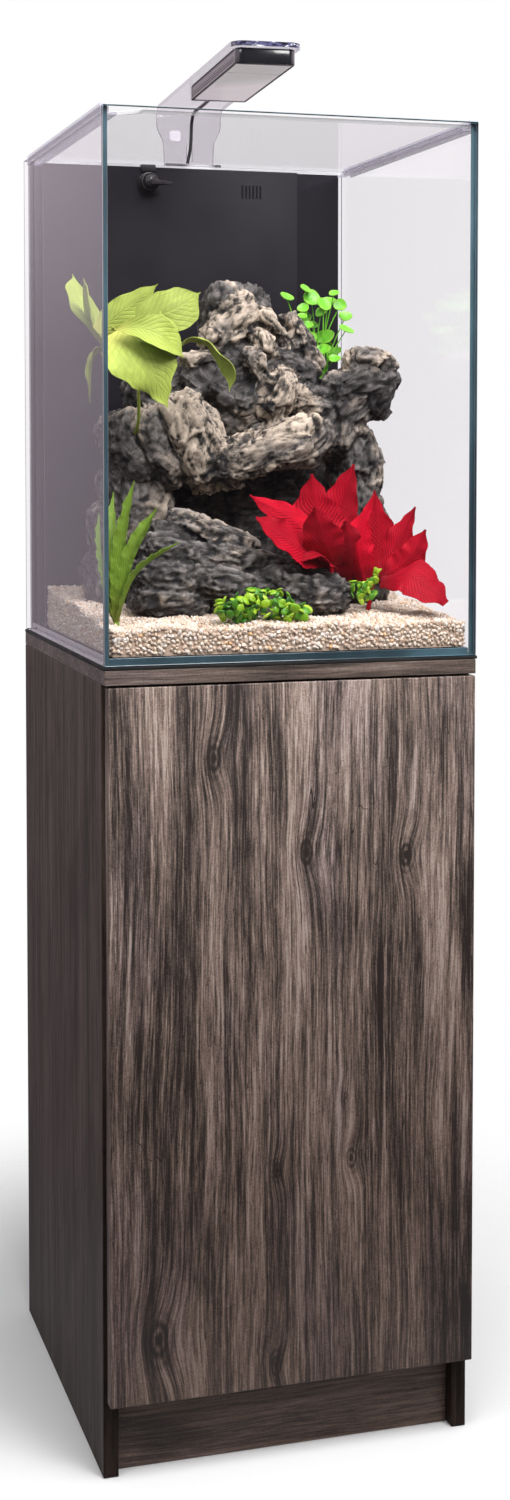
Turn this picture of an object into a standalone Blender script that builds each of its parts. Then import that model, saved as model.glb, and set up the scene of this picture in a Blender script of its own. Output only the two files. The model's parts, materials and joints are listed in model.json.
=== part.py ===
"""Aquarium on a cabinet stand: a tall glass tank on a one-door cabinet, with its filter, lamp and decor.

Metres, +Z up. The front faces -Y. The origin is on the floor, at the centre of the footprint.
"""

import math

import bmesh
import bpy
from mathutils import Matrix, Vector, noise

# Driving dimensions
GAP = 0.0003  # clearance between two pieces that touch
WIDTH = 0.400
DEPTH = 0.442
FRONT, BACK = -DEPTH / 2, DEPTH / 2
BOARD = 0.016
CABINET_HEIGHT = 0.8357
TANK_HEIGHT = 0.558
TANK_DEPTH = 0.436
GLASS = 0.006
MAT_THICKNESS = 0.0032

# Cabinet
SIDE = WIDTH / 2
INNER = SIDE - BOARD - GAP  # half the clear width between the side panels
TOP_UNDER = CABINET_HEIGHT - 0.0154
SIDE_FRONT = FRONT + 0.019
DOOR_LEFT, DOOR_RIGHT = -0.1965, 0.1997
DOOR_FRONT, DOOR_BACK = FRONT + 0.0003, FRONT + 0.0163
DOOR_LOW, DOOR_HIGH = 0.0805, 0.8180
HINGE_X = 0.1980
HINGE_HEIGHTS = (0.185, 0.715)
CUP_X = 0.1770
LINK_PIVOT = Vector((CUP_X, DOOR_BACK - 0.006, 0))
SHELF_LOW, SHELF_HIGH = 0.440, 0.456
LATCH_Z = 0.600
CABLE_HOLE = (0.0, 0.665)

# Tank
MAT_LOW = CABINET_HEIGHT + GAP
TANK_LOW = MAT_LOW + MAT_THICKNESS + GAP
RIM = TANK_LOW + TANK_HEIGHT
PANE_IN = SIDE - GLASS  # inner face of a side pane
TANK_BACK = FRONT + TANK_DEPTH
FRONT_IN = FRONT + GLASS
BACK_IN = TANK_BACK - GLASS
FLOOR_GLASS = 0.008
TANK_FLOOR = TANK_LOW + FLOOR_GLASS
COVER_LOW = RIM - 0.0065
COVER_THICKNESS = 0.004
COVER_BACK = 0.185
COVER_CUT = 0.034

# Rear filter
WALL_Y = 0.125
WALL = 0.003
WALL_TOP = 1.384
WALL_RIGHT = 0.1127
BAFFLE_LEFT, BAFFLE_RIGHT = -0.0450, 0.0220
OUTLET = Vector((-0.0700, WALL_Y, 1.3660))
BALL = Vector((OUTLET.x, WALL_Y - 0.0125, OUTLET.z))
SPOUT_YAW = math.radians(38)
SLOTS, SLOT_WIDTH, SLOT_HEIGHT, SLOT_PITCH = 6, 0.0024, 0.0150, 0.0044
GRILLE = Vector((0.0556, WALL_Y, 1.3590))
PUMP_X, PUMP_Y = OUTLET.x - 0.010, 0.169

# Lamp: its arm points forward, turned a little about the rear rim
LAMP_PIVOT = Vector((0.002, TANK_BACK - GLASS / 2, 0))
LAMP_TURN = math.radians(-3.9)
SHEET = 0.005
ARM_Z = 1.467
BEND = 0.012
ARM_REACH = 0.425
HOUSING = (-0.419, -0.176)  # along the arm, from the pivot
HOUSING_HALF, HOUSING_LOW, HOUSING_HIGH = 0.0315, 1.4485, ARM_Z - SHEET / 2 - GAP
CORD_RADIUS = 0.002

# Gravel surface: it rises from the front pane to the filter wall
GRAVEL_FRONT, GRAVEL_BACK = 0.876, 0.897


def fresh_scene():
    for obj in list(bpy.data.objects):
        bpy.data.objects.remove(obj, do_unlink=True)


def collection(name):
    made = bpy.data.collections.new(name)
    bpy.context.scene.collection.children.link(made)
    return made


fresh_scene()
PARTS = collection("aquarium_on_stand")
CUTTERS = collection("cutters")


def material(name, colour, roughness, metallic=0.0, alpha=1.0):
    made = bpy.data.materials.new(name)
    made.use_nodes = True
    shader = made.node_tree.nodes["Principled BSDF"]
    shader.inputs["Base Color"].default_value = (*colour, 1.0)
    shader.inputs["Roughness"].default_value = roughness
    shader.inputs["Metallic"].default_value = metallic
    shader.inputs["Alpha"].default_value = alpha
    return made


FINISH = {
    "door_wood": material("door_wood", (0.20, 0.16, 0.14), 0.6),
    "carcass_wood": material("carcass_wood", (0.11, 0.085, 0.075), 0.6),
    "hardboard": material("hardboard", (0.09, 0.07, 0.06), 0.7),
    "steel": material("steel", (0.62, 0.62, 0.63), 0.3, 1.0),
    "black_plastic": material("black_plastic", (0.012, 0.012, 0.014), 0.4),
    "grey_plastic": material("grey_plastic", (0.30, 0.30, 0.31), 0.5),
    "foam": material("foam", (0.01, 0.01, 0.01), 0.9),
    "clear_glass": material("clear_glass", (0.80, 0.88, 0.88), 0.02, 0.0, 0.3),
    "black_glass": material("black_glass", (0.012, 0.011, 0.014), 0.05),
    "clear_plastic": material("clear_plastic", (0.86, 0.85, 0.92), 0.08, 0.0, 0.35),
    "sponge": material("sponge", (0.05, 0.06, 0.09), 0.95),
    "ceramic": material("ceramic", (0.72, 0.66, 0.55), 0.9),
    "lamp_metal": material("lamp_metal", (0.42, 0.37, 0.38), 0.4, 0.8),
    "gloss_black": material("gloss_black", (0.010, 0.010, 0.012), 0.12),
    "lens": material("lens", (0.78, 0.74, 0.76), 0.25),
    "cord": material("cord", (0.03, 0.035, 0.035), 0.5),
    "gravel": material("gravel", (0.60, 0.48, 0.36), 0.85),
    "rock": material("rock", (0.16, 0.14, 0.12), 0.9),
    "lime_leaf": material("lime_leaf", (0.50, 0.66, 0.08), 0.6),
    "green_leaf": material("green_leaf", (0.17, 0.55, 0.03), 0.5),
    "red_leaf": material("red_leaf", (0.62, 0.01, 0.03), 0.6),
}


def add(name, mesh, finish, where=PARTS):
    """Links the mesh as an object, with its material."""
    obj = bpy.data.objects.new(name, mesh)
    if finish:
        mesh.materials.append(FINISH[finish])
    where.objects.link(obj)
    return obj


def mesh_of(shape, name, centre=None):
    """The bmesh as a mesh, with its points counted from centre."""
    if centre is not None:
        bmesh.ops.translate(shape, vec=-Vector(centre), verts=shape.verts)
    bmesh.ops.recalc_face_normals(shape, faces=shape.faces)
    mesh = bpy.data.meshes.new(name)
    shape.to_mesh(mesh)
    shape.free()
    return mesh


def cube_into(shape, low, high):
    low, high = Vector(low), Vector(high)
    place = Matrix.Translation((low + high) / 2) @ Matrix.Diagonal((*(high - low), 1))
    return bmesh.ops.create_cube(shape, size=1, matrix=place)["verts"]


def box(name, low, high, finish, bevel=0.0, origin=None, where=PARTS):
    """A block between two corners. origin is where its object's origin goes, by default its centre."""
    shape = bmesh.new()
    cube_into(shape, low, high)
    centre = Vector(origin) if origin is not None else (Vector(low) + Vector(high)) / 2
    obj = add(name, mesh_of(shape, name, centre), finish, where)
    obj.location = centre
    if bevel:
        soften(obj, bevel)
    return obj


def soften(obj, width, segments=1):
    edge = obj.modifiers.new("Bevel", "BEVEL")
    edge.width = width
    edge.segments = segments
    edge.limit_method = "ANGLE"
    return edge


def cylinder(name, centre, axis, radius, length, finish, sides=24, where=PARTS):
    shape = bmesh.new()
    turn = Vector((0, 0, 1)).rotation_difference(Vector(axis)).to_matrix().to_4x4()
    bmesh.ops.create_cone(
        shape, cap_ends=True, segments=sides, radius1=radius, radius2=radius, depth=length, matrix=turn
    )
    obj = add(name, mesh_of(shape, name), finish, where)
    obj.location = centre
    round_shading(obj)
    return obj


def round_shading(obj):
    obj.data.shade_smooth()
    obj.data.set_sharp_from_angle(angle=math.radians(35))


def turned(name, centre, axis, profile, finish, sides=24, origin=None):
    """A solid turned about axis through centre. profile is (radius, height along the axis) points, closed on itself."""
    shape = bmesh.new()
    ring = [shape.verts.new((r, 0, h)) for r, h in profile]
    edges = [shape.edges.new((ring[i], ring[(i + 1) % len(ring)])) for i in range(len(ring))]
    edges = [e for e in edges if max(v.co.x for v in e.verts) > 1e-6]
    bmesh.ops.spin(
        shape, geom=ring + edges, cent=(0, 0, 0), axis=(0, 0, 1), angle=math.tau, steps=sides, use_merge=True
    )
    bmesh.ops.remove_doubles(shape, verts=shape.verts, dist=1e-6)
    bmesh.ops.delete(shape, geom=[e for e in shape.edges if not e.link_faces], context="EDGES")
    turn = Vector((0, 0, 1)).rotation_difference(Vector(axis)).to_matrix().to_4x4()
    bmesh.ops.transform(shape, matrix=Matrix.Translation(centre) @ turn, verts=shape.verts)
    origin = Vector(centre if origin is None else origin)
    obj = add(name, mesh_of(shape, name, origin), finish)
    obj.location = origin
    round_shading(obj)
    return obj


def outline(name, points, thickness, finish, place, where=PARTS):
    """A flat closed outline, extruded both ways by half its thickness, then placed by a matrix."""
    curve = bpy.data.curves.new(name, "CURVE")
    curve.dimensions = "2D"
    curve.fill_mode = "BOTH"
    curve.extrude = thickness / 2
    spline = curve.splines.new("POLY")
    spline.points.add(len(points) - 1)
    for point, (x, y) in zip(spline.points, points):
        point.co = (x, y, 0, 1)
    spline.use_cyclic_u = True
    obj = bpy.data.objects.new(name, curve)
    where.objects.link(obj)
    mesh = bpy.data.meshes.new_from_object(obj.evaluated_get(bpy.context.evaluated_depsgraph_get()))
    bpy.data.objects.remove(obj)
    shape = bmesh.new()
    shape.from_mesh(mesh)
    bmesh.ops.remove_doubles(shape, verts=shape.verts, dist=1e-6)
    made = add(name, mesh_of(shape, name), finish, where)
    made.data.name = name
    made.matrix_world = place
    return made


def tube(name, points, radius, finish, resolution=2):
    """A solid rod along the points."""
    curve = bpy.data.curves.new(name, "CURVE")
    curve.dimensions = "3D"
    curve.bevel_depth = radius
    curve.bevel_resolution = resolution
    curve.use_fill_caps = True
    spline = curve.splines.new("POLY")
    spline.points.add(len(points) - 1)
    for point, where in zip(spline.points, points):
        point.co = (*where, 1)
    curve.materials.append(FINISH[finish])
    obj = bpy.data.objects.new(name, curve)
    PARTS.objects.link(obj)
    return obj


def boolean(obj, cutter, operation="DIFFERENCE"):
    step = obj.modifiers.new("Boolean", "BOOLEAN")
    step.operation = operation
    step.object = cutter
    cutter.hide_render = True
    cutter.display_type = "WIRE"


def cut_box(obj, low, high):
    boolean(obj, box(obj.name + "_cut", low, high, None, where=CUTTERS))


def cut_round(obj, centre, axis, radius, length, sides=24):
    boolean(obj, cylinder(obj.name + "_cut", centre, axis, radius, length, None, sides, CUTTERS))


def arc(centre, radius, start, end, steps):
    """Points on an arc in a plane, angles in degrees."""
    angles = [math.radians(start + (end - start) * i / steps) for i in range(steps + 1)]
    return [(centre[0] + radius * math.cos(a), centre[1] + radius * math.sin(a)) for a in angles]


def smooth_route(points, spacing):
    """Points about spacing apart on the Catmull-Rom curve through the given points."""
    points = [Vector(p) for p in points]
    ends = [points[0] * 2 - points[1]] + points + [points[-1] * 2 - points[-2]]
    route = []
    for a, b, c, d in zip(ends, ends[1:], ends[2:], ends[3:]):
        steps = max(1, round((c - b).length / spacing))
        for i in range(steps):
            t = i / steps
            route.append(
                0.5 * (2 * b + (c - a) * t + (2 * a - 5 * b + 4 * c - d) * t**2 + (3 * b - a - 3 * c + d) * t**3)
            )
    return route + [points[-1]]


def edge_on_x(name, profile, low_x, high_x, finish):
    """An extrusion along X: profile is in (y, z)."""
    place = Matrix.Translation(((low_x + high_x) / 2, 0, 0)) @ Matrix(
        ((0, 0, 1, 0), (1, 0, 0, 0), (0, 1, 0, 0), (0, 0, 0, 1))
    )
    return outline(name, profile, high_x - low_x, finish, place)


def edge_on_y(name, profile, low_y, high_y, finish):
    """An extrusion along Y: profile is in (x, z)."""
    place = Matrix.Translation((0, (low_y + high_y) / 2, 0)) @ Matrix.Rotation(math.pi / 2, 4, "X")
    return outline(name, profile, high_y - low_y, finish, place)


def plate(name, profile, low_z, high_z, finish, turn=None):
    """An extrusion along Z: profile is in (x, y)."""
    place = Matrix.Translation((0, 0, (low_z + high_z) / 2))
    return outline(name, profile, high_z - low_z, finish, (turn or Matrix()) @ place)


def cabinet():
    for side, name in ((-1, "side_panel_left"), (1, "side_panel_right")):
        outer, inner = side * SIDE, side * (SIDE - BOARD)
        low, high = min(outer, inner), max(outer, inner)
        panel = box(name, (low, SIDE_FRONT, 0), (high, BACK, TOP_UNDER - GAP), "carcass_wood", 0.0006)
        for row, y in enumerate((-0.150, 0.150)):
            peg_z = SHELF_LOW - 0.0036
            cut_round(panel, (inner, y, peg_z), (1, 0, 0), 0.0028, 0.018, 16)
            shelf_pin(f"shelf_pin_{name.split('_')[-1]}_{'front' if row == 0 else 'rear'}", side, y, peg_z)
    box("top_panel", (-SIDE, FRONT + 0.0003, TOP_UNDER), (SIDE, BACK, CABINET_HEIGHT), "carcass_wood", 0.0006)
    box("bottom_panel", (-INNER, SIDE_FRONT + 0.001, DOOR_LOW), (INNER, 0.2144, DOOR_LOW + BOARD), "carcass_wood", 0.0006)
    box("plinth", (-INNER, FRONT + 0.034, 0), (INNER, FRONT + 0.050, DOOR_LOW - GAP), "carcass_wood", 0.0006)
    back = box("back_panel", (-INNER, 0.2147, DOOR_LOW), (INNER, 0.2207, TOP_UNDER - GAP), "hardboard")
    cut_round(back, (CABLE_HOLE[0], 0.2177, CABLE_HOLE[1]), (0, 1, 0), 0.030, 0.020, 32)
    box("rear_rail", (-INNER, 0.1984, 0.740), (INNER, 0.2144, TOP_UNDER - GAP), "carcass_wood", 0.0006)
    box("shelf", (-INNER + 0.0007, -0.185, SHELF_LOW), (INNER - 0.0007, 0.2000, SHELF_HIGH), "carcass_wood", 0.0006)


def shelf_pin(name, side, y, z):
    """A steel peg: its shank sits in the panel, and its head carries the shelf."""
    x = side * (SIDE - BOARD)
    profile = [(0, 0), (0.0025, 0), (0.0025, 0.0078), (0.0033, 0.0078), (0.0033, 0.0148), (0, 0.0148)]
    turned(name, (x + side * 0.0075, y, z), (-side, 0, 0), profile, "steel", 16)


def door():
    hinge = (HINGE_X, DOOR_BACK, (DOOR_LOW + DOOR_HIGH) / 2)
    leaf = box(
        "door", (DOOR_LEFT, DOOR_FRONT, DOOR_LOW), (DOOR_RIGHT, DOOR_BACK, DOOR_HIGH), "door_wood", 0.0008, hinge
    )
    for z, place in zip(HINGE_HEIGHTS, ("lower", "upper")):
        cut_round(leaf, (CUP_X, DOOR_BACK - 0.0058, z), (0, 1, 0), 0.0178, 0.0118, 32)
        hinge_set(place, z)


def hinge_set(place, z):
    """A concealed hinge: a cup in the door, an arm on the side panel and a link between them."""
    floor, rim = -0.0110, 0.0012
    cup = [(0, floor), (0.0175, floor), (0.0175, GAP), (0.0200, GAP), (0.0200, rim), (0.0155, rim)]
    cup += [(0.0155, floor + 0.001), (0, floor + 0.001)]
    turned(f"hinge_cup_{place}", (CUP_X, DOOR_BACK, z), (0, 1, 0), cup, "steel", 32)
    inner = SIDE - BOARD - GAP
    arm = box(f"hinge_arm_{place}", (0.1600, SIDE_FRONT + 0.0015, z - 0.008), (inner, -0.1350, z + 0.008), "steel")
    cut_box(arm, (0.1615, SIDE_FRONT - 0.01, z - 0.0065), (inner - 0.0015, -0.1500, z + 0.0065))
    pivot = LINK_PIVOT + Vector((0, 0, z))
    bar = [(0.002, 0.046), (-0.002, 0.046)] + arc((0, 0), 0.0028, 150, 390, 8)
    link = outline(f"hinge_link_{place}", bar, 0.009, "steel", Matrix.Translation(pivot))
    round_shading(link)


def push_latch():
    """A push-to-open latch on the left panel: a sprung plunger in a body."""
    x, tip = -INNER + 0.0068, DOOR_BACK + GAP
    body = box("latch_body", (-INNER, -0.1990, LATCH_Z - 0.010), (-INNER + 0.0136, -0.1250, LATCH_Z + 0.010), "grey_plastic", 0.001)
    cut_round(body, (x, -0.1700, LATCH_Z), (0, 1, 0), 0.0046, 0.0700, 16)
    profile = [(0, 0), (0.0050, 0), (0.0050, 0.0025), (0.0040, 0.0025), (0.0040, 0.0640), (0, 0.0640)]
    turned("latch_plunger", (x, tip, LATCH_Z), (0, 1, 0), profile, "grey_plastic", 16)


def tank():
    box("foam_mat", (-SIDE - 0.0015, FRONT, MAT_LOW), (SIDE + 0.0015, TANK_BACK, MAT_LOW + MAT_THICKNESS), "foam")
    edge = 0.0006
    box("glass_front", (-SIDE, FRONT, TANK_LOW), (SIDE, FRONT_IN, RIM), "clear_glass", edge)
    for side, name in ((-1, "glass_left"), (1, "glass_right")):
        xs = sorted((side * SIDE, side * PANE_IN))
        box(name, (xs[0], FRONT_IN + GAP, TANK_LOW), (xs[1], TANK_BACK, RIM), "clear_glass", edge)
    inner = PANE_IN - GAP
    box("glass_back", (-inner, BACK_IN, TANK_LOW), (inner, TANK_BACK, RIM), "black_glass", edge)
    box("glass_bottom", (-inner, FRONT_IN + GAP, TANK_LOW), (inner, BACK_IN - GAP, TANK_FLOOR), "clear_glass", edge)


def cover():
    """The cover glass lies on clear rails that clip over the side panes."""
    half, low_y = 0.1918, FRONT_IN + 0.0008
    shape = [(-half + COVER_CUT, low_y), (half, low_y), (half, COVER_BACK), (-half, COVER_BACK), (-half, low_y + COVER_CUT)]
    lid = plate("cover_glass", shape, COVER_LOW, COVER_LOW + COVER_THICKNESS, "clear_glass")
    soften(lid, 0.0004)
    top, web = RIM + 0.0018, RIM + GAP
    ledge = COVER_LOW - GAP
    for side, name in ((-1, "cover_rail_left"), (1, "cover_rail_right")):
        profile = [(0.2016, 1.3885), (0.2016, top), (0.1925, top), (0.1925, ledge), (0.1840, ledge)]
        profile += [(0.1840, ledge - 0.0020), (0.1937, ledge - 0.0020), (0.1937, web), (0.2003, web), (0.2003, 1.3885)]
        edge_on_y(name, [(side * x, z) for x, z in profile], FRONT_IN + GAP, COVER_BACK, "clear_plastic")


def filter_box():
    """A black wall closes off the back of the tank; water goes in at the grille and comes back at the nozzle."""
    low, inner = TANK_FLOOR + GAP, PANE_IN - GAP
    front = box("filter_wall", (-inner, WALL_Y, low), (WALL_RIGHT, WALL_Y + WALL, WALL_TOP), "black_plastic")
    slots = bmesh.new()
    for i in range(SLOTS):
        x = GRILLE.x + (i - (SLOTS - 1) / 2) * SLOT_PITCH
        reach = Vector((SLOT_WIDTH / 2, 0.01, SLOT_HEIGHT / 2))
        middle = Vector((x, WALL_Y, GRILLE.z))
        cube_into(slots, middle - reach, middle + reach)
    boolean(front, add("grille_slots", mesh_of(slots, "grille_slots"), None, CUTTERS))
    cut_round(front, OUTLET, (0, 1, 0), 0.0085, 0.02)
    chamber_back = BACK_IN - GAP
    box("filter_end_wall", (WALL_RIGHT - WALL, WALL_Y + WALL + GAP, low), (WALL_RIGHT, chamber_back, WALL_TOP), "black_plastic")
    for name, x, bottom, top in (
        ("filter_baffle_left", BAFFLE_LEFT, low + 0.030, 1.340),
        ("filter_baffle_right", BAFFLE_RIGHT, low, 1.300),
    ):
        box(name, (x, WALL_Y + WALL + GAP, bottom), (x + WALL, chamber_back, top), "black_plastic")
    box("filter_sponge", (BAFFLE_RIGHT + 0.005, 0.1305, low), (0.1075, 0.2065, 1.200), "sponge", 0.003)
    basket()
    pump()
    outlet()


def basket():
    low, high = Vector((-0.0395, 0.1305, TANK_FLOOR + GAP)), Vector((0.0195, 0.2065, 1.200))
    wall = Vector((0.002, 0.002, 0))
    shell = box("media_basket", low, high, "black_plastic")
    cut_box(shell, low + wall + Vector((0, 0, 0.002)), high - wall + Vector((0, 0, 0.01)))
    inset = Vector((0.0025, 0.0025, 0.0025))
    box("ceramic_media", low + inset, Vector((high.x, high.y, 1.150)) - Vector((0.0025, 0.0025, 0)), "ceramic", 0.002)


def pump():
    low = TANK_FLOOR + GAP
    x, y, z = PUMP_X, PUMP_Y, low + 0.026
    body = box("pump_housing", (x - 0.030, y - 0.025, low), (x + 0.028, y + 0.025, low + 0.052), "black_plastic", 0.003)
    cut_round(body, (x - 0.024, y, z), (1, 0, 0), 0.0130, 0.024)
    rotor = bmesh.new()
    turn = Matrix.Rotation(math.pi / 2, 4, "Y")
    bmesh.ops.create_cone(rotor, cap_ends=True, segments=16, radius1=0.0035, radius2=0.0035, depth=0.014, matrix=turn)
    hub = add("impeller", mesh_of(rotor, "impeller"), "grey_plastic")
    hub.location = (x - 0.022, y, z)
    for quarter in range(2):
        blade = box(f"impeller_blade_{quarter}", (-0.005, -0.0110, -0.0008), (0.005, 0.0110, 0.0008), None, where=CUTTERS)
        blade.matrix_world = Matrix.Translation(hub.location) @ Matrix.Rotation(math.pi / 2 * quarter, 4, "X")
        boolean(hub, blade, "UNION")
    top = low + 0.052 + GAP
    bend = 0.024
    rise = [Vector((OUTLET.x, y, z)) for z in (top, 1.10, OUTLET.z - bend)]
    corner = [(OUTLET.x, y - bend + c, OUTLET.z - bend + s) for c, s in arc((0, 0), bend, 0, 90, 8)]
    riser = [rise[0], rise[1]] + [Vector(p) for p in corner] + [Vector((OUTLET.x, WALL_Y + 0.0052, OUTLET.z))]
    tube("riser_hose", riser, 0.007, "black_plastic", 3)


def outlet():
    """The nozzle's collar turns about the outlet, and its ball-ended spout tilts in the collar."""
    tail, flange = 0.0048, -0.0033
    socket = [(0.0050, flange), (0.0120, flange), (0.0120, -GAP), (0.0080, -GAP), (0.0080, tail), (0.0050, tail)]
    turned("outlet_socket", OUTLET, (0, 1, 0), socket, "black_plastic")
    ring = [(0.0084, 0.0005), (0.0100, 0.0005), (0.0112, 0.0030), (0.0112, 0.0089), (0.0084, 0.0089)]
    turned("nozzle_collar", BALL, (0, 1, 0), ring, "black_plastic", origin=BALL)
    shape = bmesh.new()
    bmesh.ops.create_uvsphere(shape, u_segments=20, v_segments=12, radius=0.0080)
    ball = add("nozzle_spout", mesh_of(shape, "nozzle_spout"), "black_plastic")
    ball.location = BALL
    blade = bmesh.new()
    fan = cube_into(blade, (-0.5, -0.5, -0.5), (0.5, 0.5, 0.5))
    for v in fan:
        out = v.co.y < 0
        v.co = Vector(((0.021 if out else 0.008) * v.co.x, -0.0255 if out else -0.003, (0.004 if out else 0.007) * v.co.z))
    spout = add("nozzle_blade", mesh_of(blade, "nozzle_blade"), None, CUTTERS)
    spout.matrix_world = Matrix.Translation(BALL) @ Matrix.Rotation(SPOUT_YAW, 4, "Z") @ Matrix.Rotation(
        math.radians(8), 4, "X"
    )
    boolean(ball, spout, "UNION")
    hook = [(0.1217, 1.3784), (0.1217, 1.3868), (0.1305, 1.3868), (0.1305, 1.3760)]
    hook += [(0.1283, 1.3760), (0.1283, WALL_TOP + GAP), (0.1247, WALL_TOP + GAP), (0.1247, 1.3784)]
    edge_on_x("outlet_clip", hook, OUTLET.x - 0.0085, OUTLET.x + 0.0085, "black_plastic")


def lamp_frame():
    frame = bpy.data.objects.new("lamp_pivot", None)
    PARTS.objects.link(frame)
    frame.matrix_world = Matrix.Translation(LAMP_PIVOT) @ Matrix.Rotation(LAMP_TURN, 4, "Z")
    return frame.matrix_world.copy()


def half_width(distance, total):
    """Half the acrylic sheet's width, by the distance along it from the rim."""
    corner = 0.014
    stations = ((0.0, 0.0305), (0.022, 0.0312), (0.046, 0.0400), (0.066, 0.0395), (total, 0.0365))
    for (a, wa), (b, wb) in zip(stations, stations[1:]):
        if distance <= b + 1e-9:
            t = (distance - a) / (b - a)
            width = wa + (wb - wa) * (3 * t**2 - 2 * t**3)
            break
    left = total - distance
    if left < corner:
        width -= corner - math.sqrt(max(corner**2 - (corner - left) ** 2, 0))
    return width


def bracket():
    """One clear sheet: a waisted upright on the rim, a bend, and an arm over the lamp."""
    low = RIM + 0.0036
    upright = ARM_Z - BEND - low
    quarter = BEND * math.pi / 2
    total = upright + quarter + ARM_REACH - BEND
    marks = [upright * i / 8 for i in range(8)] + [upright + quarter * i / 5 for i in range(5)]
    marks += [total - (ARM_REACH - BEND) * (1 - i / 4) for i in range(4)]
    marks += [total - 0.014 * (1 - math.sin(math.pi / 2 * i / 6)) for i in range(7)]
    shape = bmesh.new()
    rows = []
    for s in marks:
        if s <= upright:
            back, z, turn = 0.0, low + s, 0.0
        elif s < upright + quarter:
            angle = (s - upright) / BEND
            back, z, turn = BEND * (1 - math.cos(angle)), ARM_Z - BEND * (1 - math.sin(angle)), LAMP_TURN * math.sin(angle)
        else:
            back, z, turn = BEND + s - upright - quarter, ARM_Z, LAMP_TURN
        across = Vector((math.cos(turn), math.sin(turn), 0))
        middle = LAMP_PIVOT + Vector((math.sin(turn), -math.cos(turn), 0)) * back + Vector((0, 0, z))
        w = half_width(s, total)
        rows.append([shape.verts.new(middle + across * w * k) for k in (-1, -0.5, 0, 0.5, 1)])
    for a, b in zip(rows, rows[1:]):
        for i in range(4):
            shape.faces.new((a[i], a[i + 1], b[i + 1], b[i]))
    sheet = add("lamp_bracket", mesh_of(shape, "lamp_bracket"), "clear_plastic")
    wall = sheet.modifiers.new("Solidify", "SOLIDIFY")
    wall.thickness = SHEET
    wall.offset = 0
    slot_x, reach = LAMP_PIVOT.x + 0.001, 0.0034
    cut_box(sheet, (slot_x - reach, 0.19, RIM + 0.0070), (slot_x + reach, 0.23, RIM + 0.0262))


def rim_clamp():
    front, rear = BACK_IN - GAP, TANK_BACK + GAP
    leg = 0.003
    profile = [(front - leg, 1.3800), (front - leg, RIM + 0.0033), (rear + leg, RIM + 0.0033), (rear + leg, 1.3780)]
    profile += [(rear, 1.3780), (rear, RIM + GAP), (front, RIM + GAP), (front, 1.3800)]
    edge_on_x("rim_clamp", profile, LAMP_PIVOT.x - 0.0298, LAMP_PIVOT.x + 0.0392, "gloss_black")


def lamp():
    place = lamp_frame()
    near, far = HOUSING
    wall = 0.0025
    half, low, high = HOUSING_HALF, HOUSING_LOW + 0.0003, HOUSING_HIGH
    ribs = 5
    side = [(half, low)]
    for i in range(ribs):
        z = low + 0.0025 + i * 0.0026
        side += [(half, z), (half - 0.0008, z + 0.0004), (half - 0.0008, z + 0.0010), (half, z + 0.0014)]
    side += [(half, high)]
    inner = [(half - wall, high - 0.003), (half - wall, low)]
    profile = side + [(-x, z) for x, z in reversed(side)] + [(-x, z) for x, z in reversed(inner)] + inner
    housing = edge_on_y("lamp_housing", profile, near + 0.012 + GAP, far - 0.008 - GAP, "lamp_metal")
    housing.matrix_world = place @ housing.matrix_basis
    r = 0.010
    nose = [(half, near + 0.012), (-half, near + 0.012)] + arc((-half + r, near + r), r, 180, 270, 6)
    nose += arc((half - r, near + r), r, 270, 360, 6)
    plate("lamp_end_front", nose, HOUSING_LOW, high, "gloss_black", place)
    r = 0.003
    tail = [(-half, far - 0.008), (half, far - 0.008)] + arc((half - r, far - r), r, 0, 90, 3)
    tail += arc((-half + r, far - r), r, 90, 180, 3)
    cap = plate("lamp_end_rear", tail, HOUSING_LOW, high, "gloss_black", place)
    clear = half - wall - GAP
    span = (near + 0.012 + 2 * GAP, far - 0.008 - 2 * GAP)
    lens = box("lamp_lens", (-clear, span[0], HOUSING_LOW), (clear, span[1], HOUSING_LOW + 0.0025), "lens")
    lens.matrix_world = place @ lens.matrix_basis
    # The cord's sleeve is moulded with the rear cap.
    z = HOUSING_HIGH - 0.0042
    along = place.to_3x3() @ Vector((0, 1, 0))
    sleeve = cylinder("cord_sleeve", place @ Vector((0, far + 0.004, z)), along, 0.0034, 0.016, None, 16, CUTTERS)
    boolean(cap, sleeve, "UNION")
    return place @ Vector((0, far + 0.012 + GAP, z))


CORD_ROUTE = (
    (-0.0060, 0.0800, 1.4598),
    (-0.0025, 0.1300, 1.4590),
    (0.0005, 0.1750, 1.4592),
    (0.0025, 0.1935, 1.4565),
    (0.0032, 0.2030, 1.4460),
    (0.0034, 0.2052, 1.4320),
    (0.0031, 0.2078, 1.4200),
    (0.0030, 0.2135, 1.4110),
    (0.0026, 0.2195, 1.4040),
    (0.0022, 0.2228, 1.3900),
    (0.0020, 0.2243, 1.3600),
    (0.0030, 0.2250, 1.2500),
    (0.0045, 0.2252, 1.0500),
    (0.0030, 0.2250, 0.8000),
    (0.0010, 0.2250, 0.5500),
    (0.0015, 0.2250, 0.3000),
    (0.0035, 0.2252, 0.1100),
    (0.0060, 0.2285, 0.0520),
    (0.0110, 0.2360, 0.0200),
    (0.0180, 0.2450, 0.0060),
    (0.0290, 0.2550, 0.0024),
    (0.0430, 0.2610, 0.0024),
    (0.0570, 0.2580, 0.0026),
    (0.0700, 0.2500, 0.0055),
    (0.0800, 0.2450, 0.0092),
    (0.0900, 0.2440, 0.0100),
)


def cord(exit_point):
    route = smooth_route((exit_point,) + CORD_ROUTE, 0.021)
    tube("lamp_cord", route, CORD_RADIUS, "cord", 2)


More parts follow.
